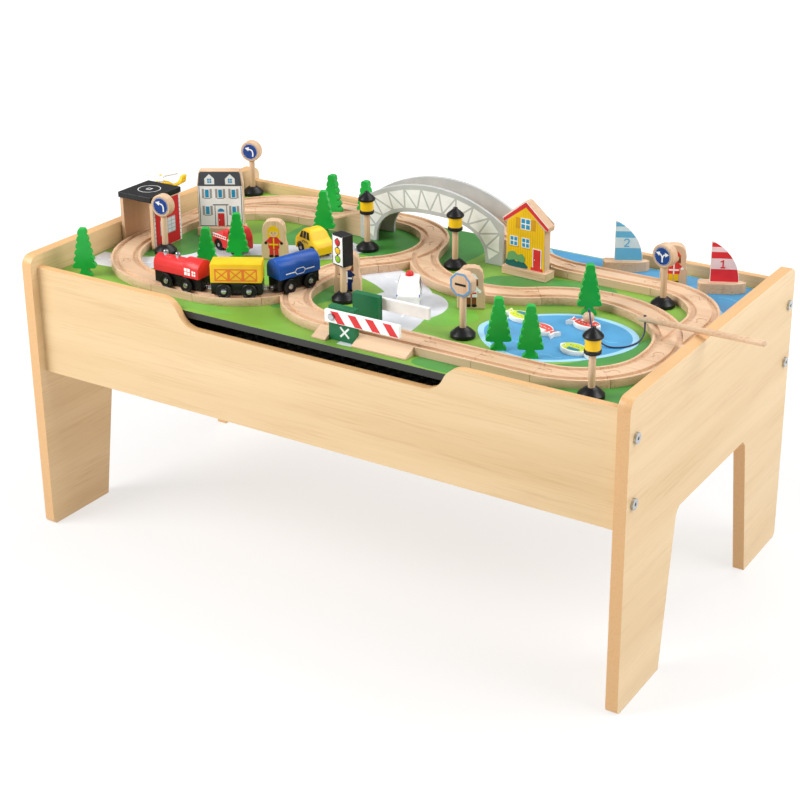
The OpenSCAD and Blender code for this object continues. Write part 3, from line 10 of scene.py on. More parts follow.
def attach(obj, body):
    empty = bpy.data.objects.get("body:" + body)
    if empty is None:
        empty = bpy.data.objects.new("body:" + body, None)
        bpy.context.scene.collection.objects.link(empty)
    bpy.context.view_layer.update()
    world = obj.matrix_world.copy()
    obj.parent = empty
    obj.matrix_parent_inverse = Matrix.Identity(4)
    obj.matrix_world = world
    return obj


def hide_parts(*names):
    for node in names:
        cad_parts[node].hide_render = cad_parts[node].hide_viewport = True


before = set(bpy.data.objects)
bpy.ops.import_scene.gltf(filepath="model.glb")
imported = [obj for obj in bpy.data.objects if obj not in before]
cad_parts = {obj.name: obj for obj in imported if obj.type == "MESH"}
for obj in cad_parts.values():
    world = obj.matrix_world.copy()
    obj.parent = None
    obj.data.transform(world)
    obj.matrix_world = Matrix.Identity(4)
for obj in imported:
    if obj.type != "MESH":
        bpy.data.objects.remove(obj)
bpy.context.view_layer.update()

MM = 0.001
X, Y, Z = range(3)
BOARD_Z = 349.0
SKIN = 0.06       # thickness of one layer of ink
INK_ROOT = 0.3    # how far ink reaches into what it is printed on
INK_STEP = 0.006  # keeps outlines of one layer apart where they cross
INK_STEPS = 8     # so many outlines differ by a step, then the steps start again
SHARP_ANGLE = radians(35)
FLAT_ANGLE = radians(0.5)
WELD_REACH = 0.01
LARGE_EDGE = 1.5  # a wider rounding takes three segments

# Camera of the photograph
CAMERA_AT = (1070.0, -1666.3, 1092.9)
CAMERA_YAW = 0.5488
CAMERA_PITCH = 0.3691
CAMERA_FOCAL_PX = 1676.0
CAMERA_MIDDLE_PX = (440.0, 300.0)
FRAME_PX = 800.0
SENSOR = 36.0

# Fishing line, from the rod's underside to the bead, and its knot on top of the rod
LINE_R = 1.0
LINE_ROUTE = [
    (325.5, 11, 362), (327, 8, 358), (330, 1, 354.5), (333, -10, 352), (334, -22, 350.6),
    (332, -34, 350.3), (328, -44, 350.3), (321, -51, 350.3), (312, -55, 350.6), (303, -54, 352),
    (294, -50, 354.6), (286, -43, 358), (279, -35, 361.8), (273.4, -27.2, 366), (268.6, -19.5, 370),
    (265.2, -14, 372.2), (262.8, -10.3, 371.4), (262, -9, 367)]
KNOT_AT = (325.2, 11.1, 368.8)

# Middles of the track's curves, which the toys' places follow
WIDE_R = 128.0
TIGHT_R = 96.0
FORK_TURN = radians(10.4)
LOOP_C = (-129.0, 99.0)
BOW_C = (LOOP_C[0] + (WIDE_R + TIGHT_R) * cos(FORK_TURN),
         LOOP_C[1] + (WIDE_R + TIGHT_R) * sin(FORK_TURN))
POND_X = 249.0
POND_C = (POND_X, BOW_C[1] - sqrt(4 * WIDE_R ** 2 - (POND_X - BOW_C[0]) ** 2))
SPOTS = {"left": (-255, -42), "ramp": (-255, 14), "rear": (-255, 67), "gate": (2, -74), "loop": LOOP_C,
         "bow": BOW_C, "pond": POND_C, "corner": (281, -74), "outer": (281, 46)}

# Colours, as read
COLOURS = dict(
    maple="#e6c99c", maple_dark="#dab988", band="#dcae78", beech="#e2c2a1", beech_dark="#cfaa88",
    black="#0b0b0c", red="#da2e2f", yellow="#f4c40c", blue="#0a4ea6", green="#17ad40", dark_green="#0d6b3f",
    white="#f2f2ef", grey="#c0c2bf", steel="#c3c6c8", navy="#0c2257", plate="#3a3a3d", board_edge="#222322",
    grass="#78a738", meadow="#448c3d", shade="#6fae3f", road="#d3d6dc", dash="#eef0f3", shore="#9fd0ea",
    water="#4b9bcb", wave="#6db6e0", cream="#fdfcf8", slate="#4b4f57", pane="#1f93bd", shutter="#a3a09d",
    ochre="#d59a10", plank="#d8a404", leaf="#6aa567", bush="#0f5f5c", orange="#e8760c", sign_blue="#17408f",
    border="#5b98c9", skin="#f0c39a", lime="#c6d62c", teal="#1f7f97", coral="#dd4f45", sail_blue="#66bbe6",
    sail_pale="#d8eef8", sail_red="#e52d37", sail_rose="#fadde0", amber="#f2c319", go="#8cc21f",
    stop="#cf1f26", truss="#f4f5f1", brown="#7a3f22", brick="#cb2029", glass="#20242b", floor="#929292")
PURE_WHITE = (1, 1, 1, 1)


def linear(colour):
    """The linear RGBA of a colour by its name."""
    code = COLOURS[colour]
    parts = [int(code[i:i + 2], 16) / 255 for i in (1, 3, 5)]
    return tuple(c / 12.92 if c <= 0.04045 else ((c + 0.055) / 1.055) ** 2.4 for c in parts) + (1.0,)


# Materials

# Noise scales per metre, of wood along and across its grain
BROAD_GRAIN = (1.6, 22.0)
FINE_GRAIN = (14.0, 420.0)
GRAIN_PATCHES = (5.0, 45.0)
PAINT_CLOUDS = 38.0
ORANGE_PEEL = 900.0
BOARD_CLOUDS = 9.0
METAL_WEAR = 260.0
CORD_STRANDS = 1500.0
PAPER_CLOUDS = 3.0

PANEL_FLECK = 0.13
FLECK_TINT = (0.8, 1.2, 1.6)  # how much of a fleck red, green and blue lose
FAINT_FIGURE = (0.25, 0.25, 0.25, 1)


class Nodes:
    """A material's node tree, with short calls to fill it."""

    def __init__(self, name):
        self.material = bpy.data.materials.new(name)
        self.material.use_nodes = True
        self.tree = self.material.node_tree
        self.shader = self.tree.nodes["Principled BSDF"]

    def add(self, kind, **settings):
        node = self.tree.nodes.new(kind)
        for key, value in settings.items():
            if key.startswith("in_"):
                node.inputs[key[3:].replace("_", " ").title()].default_value = value
            else:
                setattr(node, key, value)
        return node

    def link(self, out, into):
        self.tree.links.new(out, into)

    def place(self, scale):
        """Object coordinates, scaled by axis or all alike."""
        scale = scale if isinstance(scale, tuple) else (scale, scale, scale)
        coords = self.add("ShaderNodeTexCoord")
        mapping = self.add("ShaderNodeMapping", in_Scale=scale)
        self.link(coords.outputs["Object"], mapping.inputs["Vector"])
        return mapping.outputs["Vector"]

    def noise(self, scale, detail=3.0, rough=0.5):
        node = self.add("ShaderNodeTexNoise", in_Scale=1.0, in_Detail=detail, in_Roughness=rough)
        self.link(self.place(scale), node.inputs["Vector"])
        return node.outputs["Fac"]

    def ramp(self, factor, stops):
        node = self.add("ShaderNodeValToRGB")
        for element, (at, colour) in zip(node.color_ramp.elements, stops, strict=True):
            element.position = at
            element.color = colour
        self.link(factor, node.inputs["Fac"])
        return node.outputs["Color"]

    def shades(self, factor, colour, low, high=1.0, stops=(0.3, 0.7)):
        """A colour between two of its shades."""
        return self.ramp(factor, zip(stops, (shaded(linear(colour), share) for share in (low, high))))

    def fill(self, sockets, values):
        """Links each socket to a value that is one itself, and sets the others."""
        for socket, value in zip(sockets, values):
            if isinstance(value, bpy.types.NodeSocket):
                self.link(value, socket)
            else:
                socket.default_value = value

    def mix(self, factor, a, b, blend="MIX"):
        node = self.add("ShaderNodeMix", data_type="RGBA", blend_type=blend)
        self.fill((node.inputs["Factor"], node.inputs[6], node.inputs[7]), (factor, a, b))
        return node.outputs[2]

    def math(self, operation, a, b=0.5):
        node = self.add("ShaderNodeMath", operation=operation)
        self.fill(node.inputs, (a, b))
        return node.outputs["Value"]

    def spread(self, factor, low, high):
        node = self.add("ShaderNodeMapRange", in_To_Min=low, in_To_Max=high)
        self.link(factor, node.inputs["Value"])
        return node.outputs["Result"]

    def off_axis(self, axis, limit):
        """1 on faces that look away from an axis, 0 on those that look along it."""
        coords = self.add("ShaderNodeTexCoord")
        split = self.add("ShaderNodeSeparateXYZ")
        self.link(coords.outputs["Normal"], split.inputs["Vector"])
        return self.math("LESS_THAN", self.math("ABSOLUTE", split.outputs[axis]), limit)

    def bump(self, height, distance_m, strength):
        node = self.add("ShaderNodeBump", in_Strength=strength, in_Distance=distance_m)
        self.link(height, node.inputs["Height"])
        self.link(node.outputs["Normal"], self.shader.inputs["Normal"])

    def finish(self, colour, rough, **constants):
        """Links the colour and the roughness, and sets the constants on the shader."""
        self.link(colour, self.shader.inputs["Base Color"])
        self.link(rough, self.shader.inputs["Roughness"])
        for key, value in constants.items():
            self.shader.inputs[key.replace("_", " ").title()].default_value = value
        return self.material


def stretched(axis, along, across):
    return tuple(along if i == axis else across for i in range(3))


def shaded(colour, factor, lift=0.0):
    return tuple(min(1.0, c * factor + lift) for c in colour[:3]) + (1.0,)


def wood(name, light, axis, fleck, edge=None, face_axis=None):
    """Wood with its grain along one axis; with edge, faces off face_axis take the edge band's colour."""
    n = Nodes(name + "_wood")
    broad = n.noise(stretched(axis, *BROAD_GRAIN))
    fine = n.noise(stretched(axis, *FINE_GRAIN), rough=0.6)
    patch = n.noise(stretched(axis, *GRAIN_PATCHES), detail=2.0)
    figured = n.ramp(patch, [(0.42, FAINT_FIGURE), (0.62, PURE_WHITE)])
    colour = n.ramp(broad, [(0.32, linear(light)), (0.72, linear(light + "_dark"))])
    darkened = tuple(1 - share * fleck for share in FLECK_TINT) + (1,)
    streak = n.ramp(fine, [(0.46, PURE_WHITE), (0.7, darkened)])
    colour = n.mix(figured, colour, streak, "MULTIPLY")
    if edge:
        banded = n.mix(0.5, linear(edge), streak, "MULTIPLY")
        colour = n.mix(n.off_axis(face_axis, limit=0.75), colour, banded)
    n.bump(fine, distance_m=0.0002, strength=0.25)
    return n.finish(colour, n.spread(broad, 0.38, 0.5), Coat_Weight=0.12, Coat_Roughness=0.3)


def paint(name, colour, rough=0.36, mottle=0.06, coat=0.1):
    """Lacquer on turned or sawn wood: slight mottle, faint orange peel."""
    n = Nodes(name)
    n.shader.inputs["Specular IOR Level"].default_value = 0.3
    base = linear(colour)
    cloud = n.noise(PAINT_CLOUDS)
    mottled = n.ramp(cloud, [(0.3, shaded(base, 1 - 2 * mottle)), (0.7, shaded(base, 1 + mottle, 0.004))])
    n.bump(n.noise(ORANGE_PEEL, detail=2.0), distance_m=0.00006, strength=0.3)
    dull = n.spread(cloud, rough - 0.05, rough + 0.08)
    return n.finish(mottled, dull, Coat_Weight=coat, Coat_Roughness=0.18)


def board_print():
    """Printed top of the play board over its dark sides."""
    n = Nodes("board_print")
    cloud = n.noise(BOARD_CLOUDS)
    top = n.shades(cloud, "grass", 0.8, 1.1, stops=(0.35, 0.65))
    colour = n.mix(n.off_axis(Z, limit=0.5), top, linear("board_edge"))
    return n.finish(colour, n.spread(cloud, 0.34, 0.46), Coat_Weight=0.1, Coat_Roughness=0.2)


def bright_steel():
    n = Nodes("bright_steel")
    wear = n.noise(METAL_WEAR, detail=4.0)
    return n.finish(n.shades(wear, "steel", 0.8), n.spread(wear, 0.18, 0.37), Metallic=1.0)


def navy_cord():
    n = Nodes("navy_cord")
    strands = n.noise(CORD_STRANDS, detail=2.0)
    n.bump(strands, distance_m=0.0003, strength=0.6)
    return n.finish(n.shades(strands, "navy", 0.55), n.spread(strands, 0.6, 0.8), Sheen_Weight=0.3)


def glowing_floor():
    """Studio paper that glows: painted light, dimmer near the object and brighter away from it."""
    n = Nodes("glowing_floor")
    cloud = n.noise(PAPER_CLOUDS, detail=2.0)
    far = n.add("ShaderNodeVectorMath", operation="LENGTH")
    n.link(n.place(1.0), far.inputs[0])
    # Painted light: the floor's glow rises from 0.66 near the object to 0.95 far from it, so it reads
    # darker around the table.
    reach = n.add("ShaderNodeMapRange", in_From_Min=0.6, in_From_Max=1.7, in_To_Min=0.66, in_To_Max=0.95)
    n.link(far.outputs["Value"], reach.inputs["Value"])
    n.link(reach.outputs["Result"], n.shader.inputs["Emission Strength"])
    return n.finish(n.shades(cloud, "floor", 0.99), n.spread(cloud, 0.55, 0.65), Emission_Color=PURE_WHITE)


MATERIALS = {
    "long_panel": wood("long_panel", "maple", X, PANEL_FLECK, edge="band", face_axis=Y),
    "end_panel": wood("end_panel", "maple", Y, PANEL_FLECK, edge="band", face_axis=X),
    "shelf": wood("shelf", "maple", X, PANEL_FLECK),
    "track": wood("track", "beech", X, fleck=0.3),
    "stick": wood("stick", "beech", Z, fleck=0.25),
    "steel": bright_steel(),
    "cord": navy_cord(),
    "board": board_print(),
    "plate": paint("plate_plastic", "plate", rough=0.28, mottle=0.1),
}
for name in "black red yellow blue green dark_green white grey".split():
    MATERIALS[name] = paint(name + "_paint", name)


def material(key):
    """A material by name; a colour that has none yet becomes an ink."""
    if key not in MATERIALS:
        MATERIALS[key] = paint(key + "_ink", key, mottle=0.05, coat=0.15)
    return MATERIALS[key]


# Flat outlines


def rect(x0, y0, x1, y1):
    return [(x0, y0), (x1, y0), (x1, y1), (x0, y1)]


def box_at(x, y, width, height):
    return rect(x - width / 2, y - height / 2, x + width / 2, y + height / 2)


def disc(x, y, radius, count=28, start=0.0, sweep=360.0, squash=1.0):
    last = count if sweep == 360.0 else count - 1
    turns = [radians(start + sweep * i / last) for i in range(count)]
    return [(x + radius * cos(a), y + squash * radius * sin(a)) for a in turns]


def octagon(half_width):
    """A regular octagon that stands on one side."""
    return disc(0, 0, half_width / cos(pi / 8), 8, start=22.5)


def smooth(points, steps=6, closed=False):
    """A smooth curve through points."""
    count = len(points)
    pick = (lambda i: points[i % count]) if closed else (lambda i: points[max(0, min(count - 1, i))])
    out = []
    for i in range(count if closed else count - 1):
        a, b, c, d = (Vector(pick(i + k)) for k in (-1, 0, 1, 2))
        for s in range(steps):
            t = s / steps
            out.append(0.5 * (2 * b + (c - a) * t + (2 * a - 5 * b + 4 * c - d) * t * t
                              + (3 * b - a - 3 * c + d) * t ** 3))
    if not closed:
        out.append(Vector(points[-1]))
    return [tuple(p) for p in out]


def loop(points, steps=6):
    return smooth(points, steps, closed=True)


def ribbon(points, width):
    """The outline of a band along an open line."""
    left, right = [], []
    for i, p in enumerate(points):
        ahead = Vector(points[min(i + 1, len(points) - 1)]) - Vector(points[max(i - 1, 0)])
        side = Vector((-ahead.y, ahead.x)).normalized() * width / 2
        left.append(tuple(Vector(p) + side))
        right.append(tuple(Vector(p) - side))
    return left + right[::-1]


def bar(x0, y0, x1, y1, width):
    return ribbon([(x0, y0), (x1, y1)], width)


def band(points, width):
    """A closed line as a row of short bars that overlap at their ends."""
    return [bar(*p, *q, width) for p, q in zip(points, points[1:] + points[:1])]


def arrow_head(x, y, turn, size):
    turns = [radians(turn + a) for a in (0, 125, 235)]
    return [(x + size * cos(a), y + size * sin(a)) for a in turns]


def moved(outline, dx, dy, scale=1.0):
    return [(x * scale + dx, y * scale + dy) for x, y in outline]


def mirrored(outline):
    return [(-x, y) for x, y in outline]


# Places


def spot(name, x, y):
    """A place by its distance from one of the track's middles, in wide radii."""
    middle = SPOTS[name]
    return middle[0] + WIDE_R * x, middle[1] + WIDE_R * y


def turn_z(degrees):
    return Matrix.Rotation(radians(degrees), 4, "Z")


def shift(x, y, z):
    return Matrix.Translation((x, y, z))


def at(place, turn=0.0, z=BOARD_Z):
    return shift(place[0], place[1], z) @ turn_z(turn)


UPRIGHT = Matrix.Rotation(pi / 2, 4, "X")    # an outline's up is Z, and it looks to the front
SIDEWAYS = Matrix.Rotation(-pi / 2, 4, "X")  # a turned piece's axis lies along +Y


def flat(matrix):
    """Puts an outline's point (u, v) and its height h in a plane."""
    return lambda u, v, h: matrix @ Vector((u, v, h))


def both_faces(base, out):
    """The front and the back of an upright piece, so far out from its middle."""
    return [flat(base @ turn_z(t) @ UPRIGHT @ shift(0, 0, out)) for t in (0, 180)]


def faces_at(places):
    """Upright faces, each by its place and the way it is turned."""
    return [flat(shift(*place) @ turn_z(turn) @ UPRIGHT) for place, turn in places]


# Making pieces


def add_object(name, data):
    obj = bpy.data.objects.new(name, data)
    bpy.context.scene.collection.objects.link(obj)
    return obj


def piece(name, solid, keys, body, replaces=()):
    """Turns a bmesh into a piece that rides on a body."""
    bmesh.ops.recalc_face_normals(solid, faces=solid.faces)
    mesh = bpy.data.meshes.new(name)
    solid.to_mesh(mesh)
    solid.free()
    for key in keys:
        mesh.materials.append(material(key))
    mesh.shade_smooth()
    mesh.set_sharp_from_angle(angle=SHARP_ANGLE)
    obj = add_object(name, mesh)
    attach(obj, body)
    if replaces:
        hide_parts(*replaces)
    return obj


def prism(solid, outline, low, high, put, index=0):
    """Adds a closed block over a flat outline."""
    bottom, top = ([solid.verts.new(put(u, v, h) * MM) for u, v in outline] for h in (low, high))
    after = [(i + 1) % len(outline) for i in range(len(outline))]
    walls = [[bottom[i], bottom[j], top[j], top[i]] for i, j in enumerate(after)]
    for corners in [top, bottom[::-1]] + walls:
        solid.faces.new(corners).material_index = index


def printed(name, puts, layers, body="board", root=INK_ROOT):
    """Ink on faces: each layer is (colour, outlines), and each lies one skin over the last."""
    solid = bmesh.new()
    keys = []
    for depth, (key, outlines) in enumerate(layers, 1):
        if key not in keys:
            keys.append(key)
        for put in puts:
            for k, outline in enumerate(outlines):
                top = depth * SKIN + k % INK_STEPS * INK_STEP
                prism(solid, outline, -root, top, put, keys.index(key))
    piece(name, solid, keys, body)


def one_colour(key, steps):
    """A turned shape's profile in one colour, from its radii and heights."""
    return [(radius, height, key) for radius, height in steps]


def turned(solid, profile, matrix, keys, segments):
    """Adds a turned shape: (radius, height, colour of the band that follows), from axis to axis."""
    turns = [2 * pi * i / segments for i in range(segments)]
    rings = []
    for radius, height, _ in profile:
        around = turns if radius else turns[:1]
        places = [Vector((radius * cos(a), radius * sin(a), height)) for a in around]
        rings.append([solid.verts.new((matrix @ place) * MM) for place in places])
    for (low, high), (_, _, key) in zip(zip(rings, rings[1:]), profile):
        if key not in keys:
            keys.append(key)
        for i in range(segments):
            j = i + 1
            corners = [low[i % len(low)], low[j % len(low)], high[j % len(high)], high[i % len(high)]]
            unique = [v for k, v in enumerate(corners) if v not in corners[:k]]
            solid.faces.new(unique).material_index = keys.index(key)


def turned_piece(name, parts, body, replaces=(), segments=32):
    """A piece of one or more turned shapes: parts are (profile, matrix)."""
    solid = bmesh.new()
    keys = []
    for profile, matrix in parts:
        turned(solid, profile, matrix, keys, segments)
    piece(name, solid, keys, body, replaces)


def modify(obj, name, kind, **settings):
    modifier = obj.modifiers.new(name, kind)
    for key, value in settings.items():
        setattr(modifier, key, value)


def round_edges(obj, edge, segments):
    modify(obj, "edge", "BEVEL", width=edge * MM, segments=segments, limit_method="ANGLE",
           angle_limit=SHARP_ANGLE, harden_normals=True)


def dress(node, key, edge):
    """Gives a CAD node its material, and rounds its sharp edges by so many mm."""
    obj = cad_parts[node]
    if not obj.material_slots:
        obj.data.materials.append(None)
    for slot in obj.material_slots:
        slot.material = MATERIALS[key]
    if edge:
        modify(obj, "weld", "WELD", merge_threshold=WELD_REACH * MM)
        modify(obj, "flat", "DECIMATE", decimate_type="DISSOLVE", angle_limit=FLAT_ANGLE)
        round_edges(obj, edge, 3 if edge > LARGE_EDGE else 2)


def soften(node, voxel=0.7, rounds=30):
    """Rounds a moulded toy's body all over."""
    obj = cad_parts[node]
    modify(obj, "even", "REMESH", mode="VOXEL", voxel_size=voxel * MM, use_smooth_shade=True)
    modify(obj, "soft", "SMOOTH", factor=0.5, iterations=rounds)


# The CAD nodes of each material, by the rounding of their edges
DRESS = {
    "long_panel": {2.5: "front_panel back_panel"},
    "end_panel": {2.5: "left_end_panel right_end_panel"},
    "shelf": {0.8: "shelf board_ledgers"},
    "board": {0.4: "play_board"},
    "plate": {0.4: "building_plate"},
    "steel": {0: "panel_bolts barrel_nuts engine_couplings wagon_couplings"},
    "track": {0.9: "curved_tracks straight_tracks switch_tracks ramp_tracks crossing_track bridge_deck "
                   "boat_hulls white_house yellow_house", 1.5: "fishing_rod", 0.5: "magnet_bead"},
    "stick": {0.5: "posts", 1.6: "figures", 0.8: "garage_walls"},
    "grey": {1.0: "bridge_sides"},
    "dark_green": {1.2: "gate_blocks"},
    "white": {0.9: "front_gate_arm rear_gate_arm", 0: "police_body", 0.6: "helicopter_rotor", 0.7: "fish",
              0.5: "boat_sails"},
    "red": {1.2: "engine_body", 0: "truck_body"},
    "yellow": {1.4: "boxcar_body", 0: "taxi_body helicopter_body"},
    "blue": {1.2: "tanker_body"},
    "green": {1.0: "trees"},
    "black": {1.0: "engine_frame boxcar_frame tanker_frame", 1.2: "garage_roof"},
}
for key, edges in DRESS.items():
    for edge, nodes in edges.items():
        for node in nodes.split():
            dress(node, key, edge)
for node in ("taxi_body", "truck_body", "police_body", "helicopter_body"):
    soften(node)


# Fishing line


def fishing_line():
    """The free line as one smooth curve through its route."""
    data = bpy.data.curves.new("line", "CURVE")
    data.dimensions = "3D"
    data.bevel_depth = LINE_R * MM
    data.bevel_resolution = 3
    data.resolution_u = 6
    spline = data.splines.new("BEZIER")
    spline.bezier_points.add(len(LINE_ROUTE) - 1)
    for point, place in zip(spline.bezier_points, LINE_ROUTE):
        point.co = Vector(place) * MM
        point.handle_left_type = point.handle_right_type = "AUTO"
    data.materials.append(MATERIALS["cord"])
    line = add_object("line", data)
    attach(line, "board")
    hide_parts("fishing_line")


def line_knot():
    """The knot that holds the line on top of the rod."""
    profile = one_colour("cord", [(0, -1.6), (1.5, -1.0), (2.0, 0.0), (1.5, 1.2), (0, 1.7)])
    turned_piece("line_knot", [(profile, shift(*KNOT_AT))], "board", segments=16)


# Play board

STREET_W = 44
LANE_W = 56
ROAD_STEPS = 8
DASH_W = 2.2
YARD = (40, -62, 52)  # middle and radius of the open place by the crossing
LAKE_C = (243, -55)
SHORE_SHARE = 0.08    # by how much of its size the water is smaller than its shore


def road_dashes(points):
    """Every third step of a road's middle line."""
    line = smooth(points, ROAD_STEPS)
    return [bar(*p, *q, DASH_W) for p, q in list(zip(line, line[1:]))[1::3]]


def ripple(x, y, step, width, height=3):
    return ribbon(smooth([(x + k * step, y + k % 2 * height) for k in range(4)], 4), width)


def board_art():
    """Grass, roads, a pond and a strip of water, in a plain layout of its own."""
    meadow = [
        [(-404, -60), (-350, -88), (-300, -60), (-285, 0), (-330, 60), (-404, 70)],
        [(-240, 60), (-190, 40), (-120, 62), (-40, 60), (20, 96), (10, 205), (-120, 208), (-230, 205)],
        [(-100, -150), (-60, -125), (-40, -60), (-72, -20), (-110, -60)],
        [(90, 20), (160, 12), (236, 60), (236, 118), (150, 112), (80, 80)],
        [(140, -208), (250, -210), (400, -208), (402, -40), (350, 40), (330, -40), (280, -130),
         (180, -150)]]
    shade = [
        [(-230, -130), (-180, -120), (-150, -60), (-200, -50), (-240, -80)],
        [(60, -20), (110, -30), (140, -60), (110, -100), (70, -90), (40, -60)],
        [(-330, -205), (-200, -210), (-120, -196), (-200, -180), (-300, -180)]]
    street = [(-404, -128), (-350, -120), (-290, -76), (-264, -13), (-200, 24), (-150, 40), (-128, 90)]
    lane = [(-60, 20), (-10, -2), (34, -40), (60, -110), (66, -206)]
    roads = [ribbon(smooth(points, ROAD_STEPS), width)
             for points, width in ((street, STREET_W), (lane, LANE_W))]
    shore = loop([(150, -72), (176, -20), (240, 22), (306, 12), (336, -30), (318, -84), (262, -132),
                  (196, -126)], 8)
    pond = moved(shore, SHORE_SHARE * LAKE_C[0], SHORE_SHARE * LAKE_C[1], 1 - SHORE_SHARE)
    strip = smooth([(96, 212), (120, 190), (190, 176), (260, 168), (330, 162), (372, 124), (404, 90)])
    beach = smooth([(88, 213), (114, 186), (188, 171), (258, 163), (326, 157), (366, 118), (404, 84)])
    layers = [("meadow", list(map(loop, meadow))), ("shade", list(map(loop, shade))),
              ("road", roads + [disc(*YARD, 40)]),
              ("shore", [shore, beach + [(407, 213)]]), ("water", [pond, strip + [(406, 212)]])]
    printed("board_art", [flat(shift(0, 0, BOARD_Z))], layers)
    waves = [ripple(x, y, step=9, width=1.6) for x, y in ((200, -96), (232, -8), (286, -40), (252, -112))]
    waves += [ripple(x, y, step=12, width=1.8) for x, y in ((190, 200), (262, 190), (310, 202), (356, 160))]
    marks = [("dash", road_dashes(street) + road_dashes(lane)), ("wave", waves)]
    printed("board_marks", [flat(shift(0, 0, BOARD_Z + len(layers) * SKIN))], marks)


STUD_PITCH = 16.0
STUD_R = 4.8
STUD_H = 4.5
STUD_EDGE = 0.5
STUD_ROOT = 0.4
PLATE_TOP = 309.0
PLATE_STUDS = (49, 25)


def plate_studs():
    steps = [(0, -STUD_ROOT), (STUD_R, -STUD_ROOT), (STUD_R, STUD_H - STUD_EDGE),
             (STUD_R - STUD_EDGE, STUD_H), (0, STUD_H)]
    profile = one_colour("plate", steps)
    rows = [[(i - (count - 1) / 2) * STUD_PITCH for i in range(count)] for count in PLATE_STUDS]
    studs = [(profile, shift(x, y, PLATE_TOP)) for x in rows[0] for y in rows[1]]
    turned_piece("plate_studs", studs, "table", segments=12)


# Train

TRAIN_C = (-190.0, -74.0)
ENGINE_AT = (-219, -170)
WHEEL_BASE = 31.0
WAGON_R = sqrt(TIGHT_R ** 2 - WHEEL_BASE ** 2 / 4)
COACH_Z = 376.5
COACH_HALF_W = 13.5
BOILER_H = 19.0
DOMES_X = (5.28, 24.48)
CAB_X = -24.0
CRATES = 3
CRATES_L = 52
CRATE_BAR = 1.6
CRATE_POST = 1.7
TANKER_MARK_Z = 6.6


def wagon_at(turn):
    a = radians(turn)
    return at((TRAIN_C[0] + WAGON_R * cos(a), TRAIN_C[1] + WAGON_R * sin(a)), turn - 90, z=0.0)


TRAIN = {"engine": at(ENGINE_AT, 180, z=0.0), "boxcar": wagon_at(-60.5), "tanker": wagon_at(-16.5)}


def coach_sides(car, x=0):
    return both_faces(TRAIN[car] @ shift(x, 0, COACH_Z), COACH_HALF_W)


def panes(x, y, width, height, gap):
    """Four panes of a window about a middle."""
    size = ((width - gap) / 2, (height - gap) / 2)
    return [box_at(x + i * (width + gap) / 4, y + j * (height + gap) / 4, *size)
            for i in (-1, 1) for j in (-1, 1)]


def engine_details():
    dome = one_colour("steel", [(0, -0.5), (3.3, -0.5), (3.35, 4.6), (2.7, 5.6), (0, 6.0)])
    domes = [(dome, TRAIN["engine"] @ shift(x, 0, COACH_Z + BOILER_H)) for x in DOMES_X]
    turned_piece("engine_domes", domes, "engine")
    names = ("engine_windows", "engine_windows_far")
    for name, face, ahead in zip(names, coach_sides("engine", CAB_X), (1, -1)):
        windows = panes(5 * ahead, 7.5, 9, 9, 0.9) + panes(-5 * ahead, 6.6, 5.5, 6.5, 0.8)
        printed(name, [face], [("white", windows)], "engine")


def wagon_details():
    """Crossed crates on the boxcar, a lozenge between two lines on the tanker."""
    ends = [CRATES_L * i / CRATES - CRATES_L / 2 for i in range(CRATES + 1)]
    crates = []
    for x0, x1 in zip(ends, ends[1:]):
        crates += [bar(x0 + CRATE_BAR, low, x1 - CRATE_BAR, high, CRATE_BAR)
                   for low, high in ((4.6, 16.4), (16.4, 4.6))]
        crates += [bar(x, 3, x, 18, CRATE_POST) for x in (x0 + 0.8, x1 - 0.8)]
    crates += [bar(ends[0], z, ends[-1], z, CRATE_POST) for z in (3.4, 17.6)]
    printed("boxcar_crates", coach_sides("boxcar"), [("orange", crates)], "wagons")
    lozenge = [(-8, 0), (-5, 3.6), (5, 3.6), (8, 0), (5, -3.6), (-5, -3.6)]
    marks = band(lozenge, 0.8) + [bar(-22, 0, -8, 0, 1.3), bar(8, 0, 22, 0, 1.3)]
    layers = [("white", [moved(mark, 0, TANKER_MARK_Z) for mark in marks])]
    printed("tanker_marks", coach_sides("tanker"), layers, "wagons")


# Road toys

CARS = {"taxi": at(spot("ramp", 0.719, 0.148), 160, z=0.0),
        "truck": at(spot("ramp", -0.07, -0.211), -12, z=0.0),
        "police": at(spot("gate", 0.312, 0.141), -62, z=0.0)}
CAR_LOW_Z = 353.0
CAR_W = 28.0
CAR_H = 33.0
CAR_WHEEL_BASE = 28.0
COPTER = at((-417.5, 27), -90, z=380)
COPTER_W = 22
COPTER_H = 30
TOY_ROOT = 1.5
# A toy's half width as a share of its width, by shares of its height
TOY_SHARES = [(0.0, 0.5), (0.62, 0.5), (0.84, 0.46), (0.97, 0.38), (1.02, 0.3)]


def toy_side(base, side, width, height):
    """Puts ink on one side of a rounded toy, whose half width follows TOY_SHARES."""
    def put(u, v, h):
        share = v / height
        for (low, wide), (high, narrow) in zip(TOY_SHARES, TOY_SHARES[1:]):
            if share <= high:
                break
        part = (share - low) / (high - low)
        half = width * (wide + (narrow - wide) * part)
        return base @ Vector((u, side * (half + h), v))
    return put


def toy_sides(base, width=CAR_W, height=CAR_H):
    return [toy_side(base, side, width, height) for side in (-1, 1)]


def clipped(outline, level, side):
    """What of a convex outline lies over a level, or under it where side is -1."""
    out = []
    for p, q in zip(outline, outline[1:] + outline[:1]):
        stays, goes = side * (p[1] - level) > 0, side * (q[1] - level) <= 0
        if stays:
            out.append(p)
        if stays == goes:
            part = (level - p[1]) / (q[1] - p[1])
            out.append((p[0] + (q[0] - p[0]) * part, level))
    return out


def wrapped(outlines, height=CAR_H):
    """Outlines cut where a toy's side bends, so that they follow it."""
    levels = [-height] + [share * height for share, _ in TOY_SHARES[1:-1]] + [2 * height]
    strips = [clipped(clipped(outline, low, 1), high, -1) for outline in outlines
              for low, high in zip(levels, levels[1:])]
    return [strip for strip in strips if len(strip) > 2]


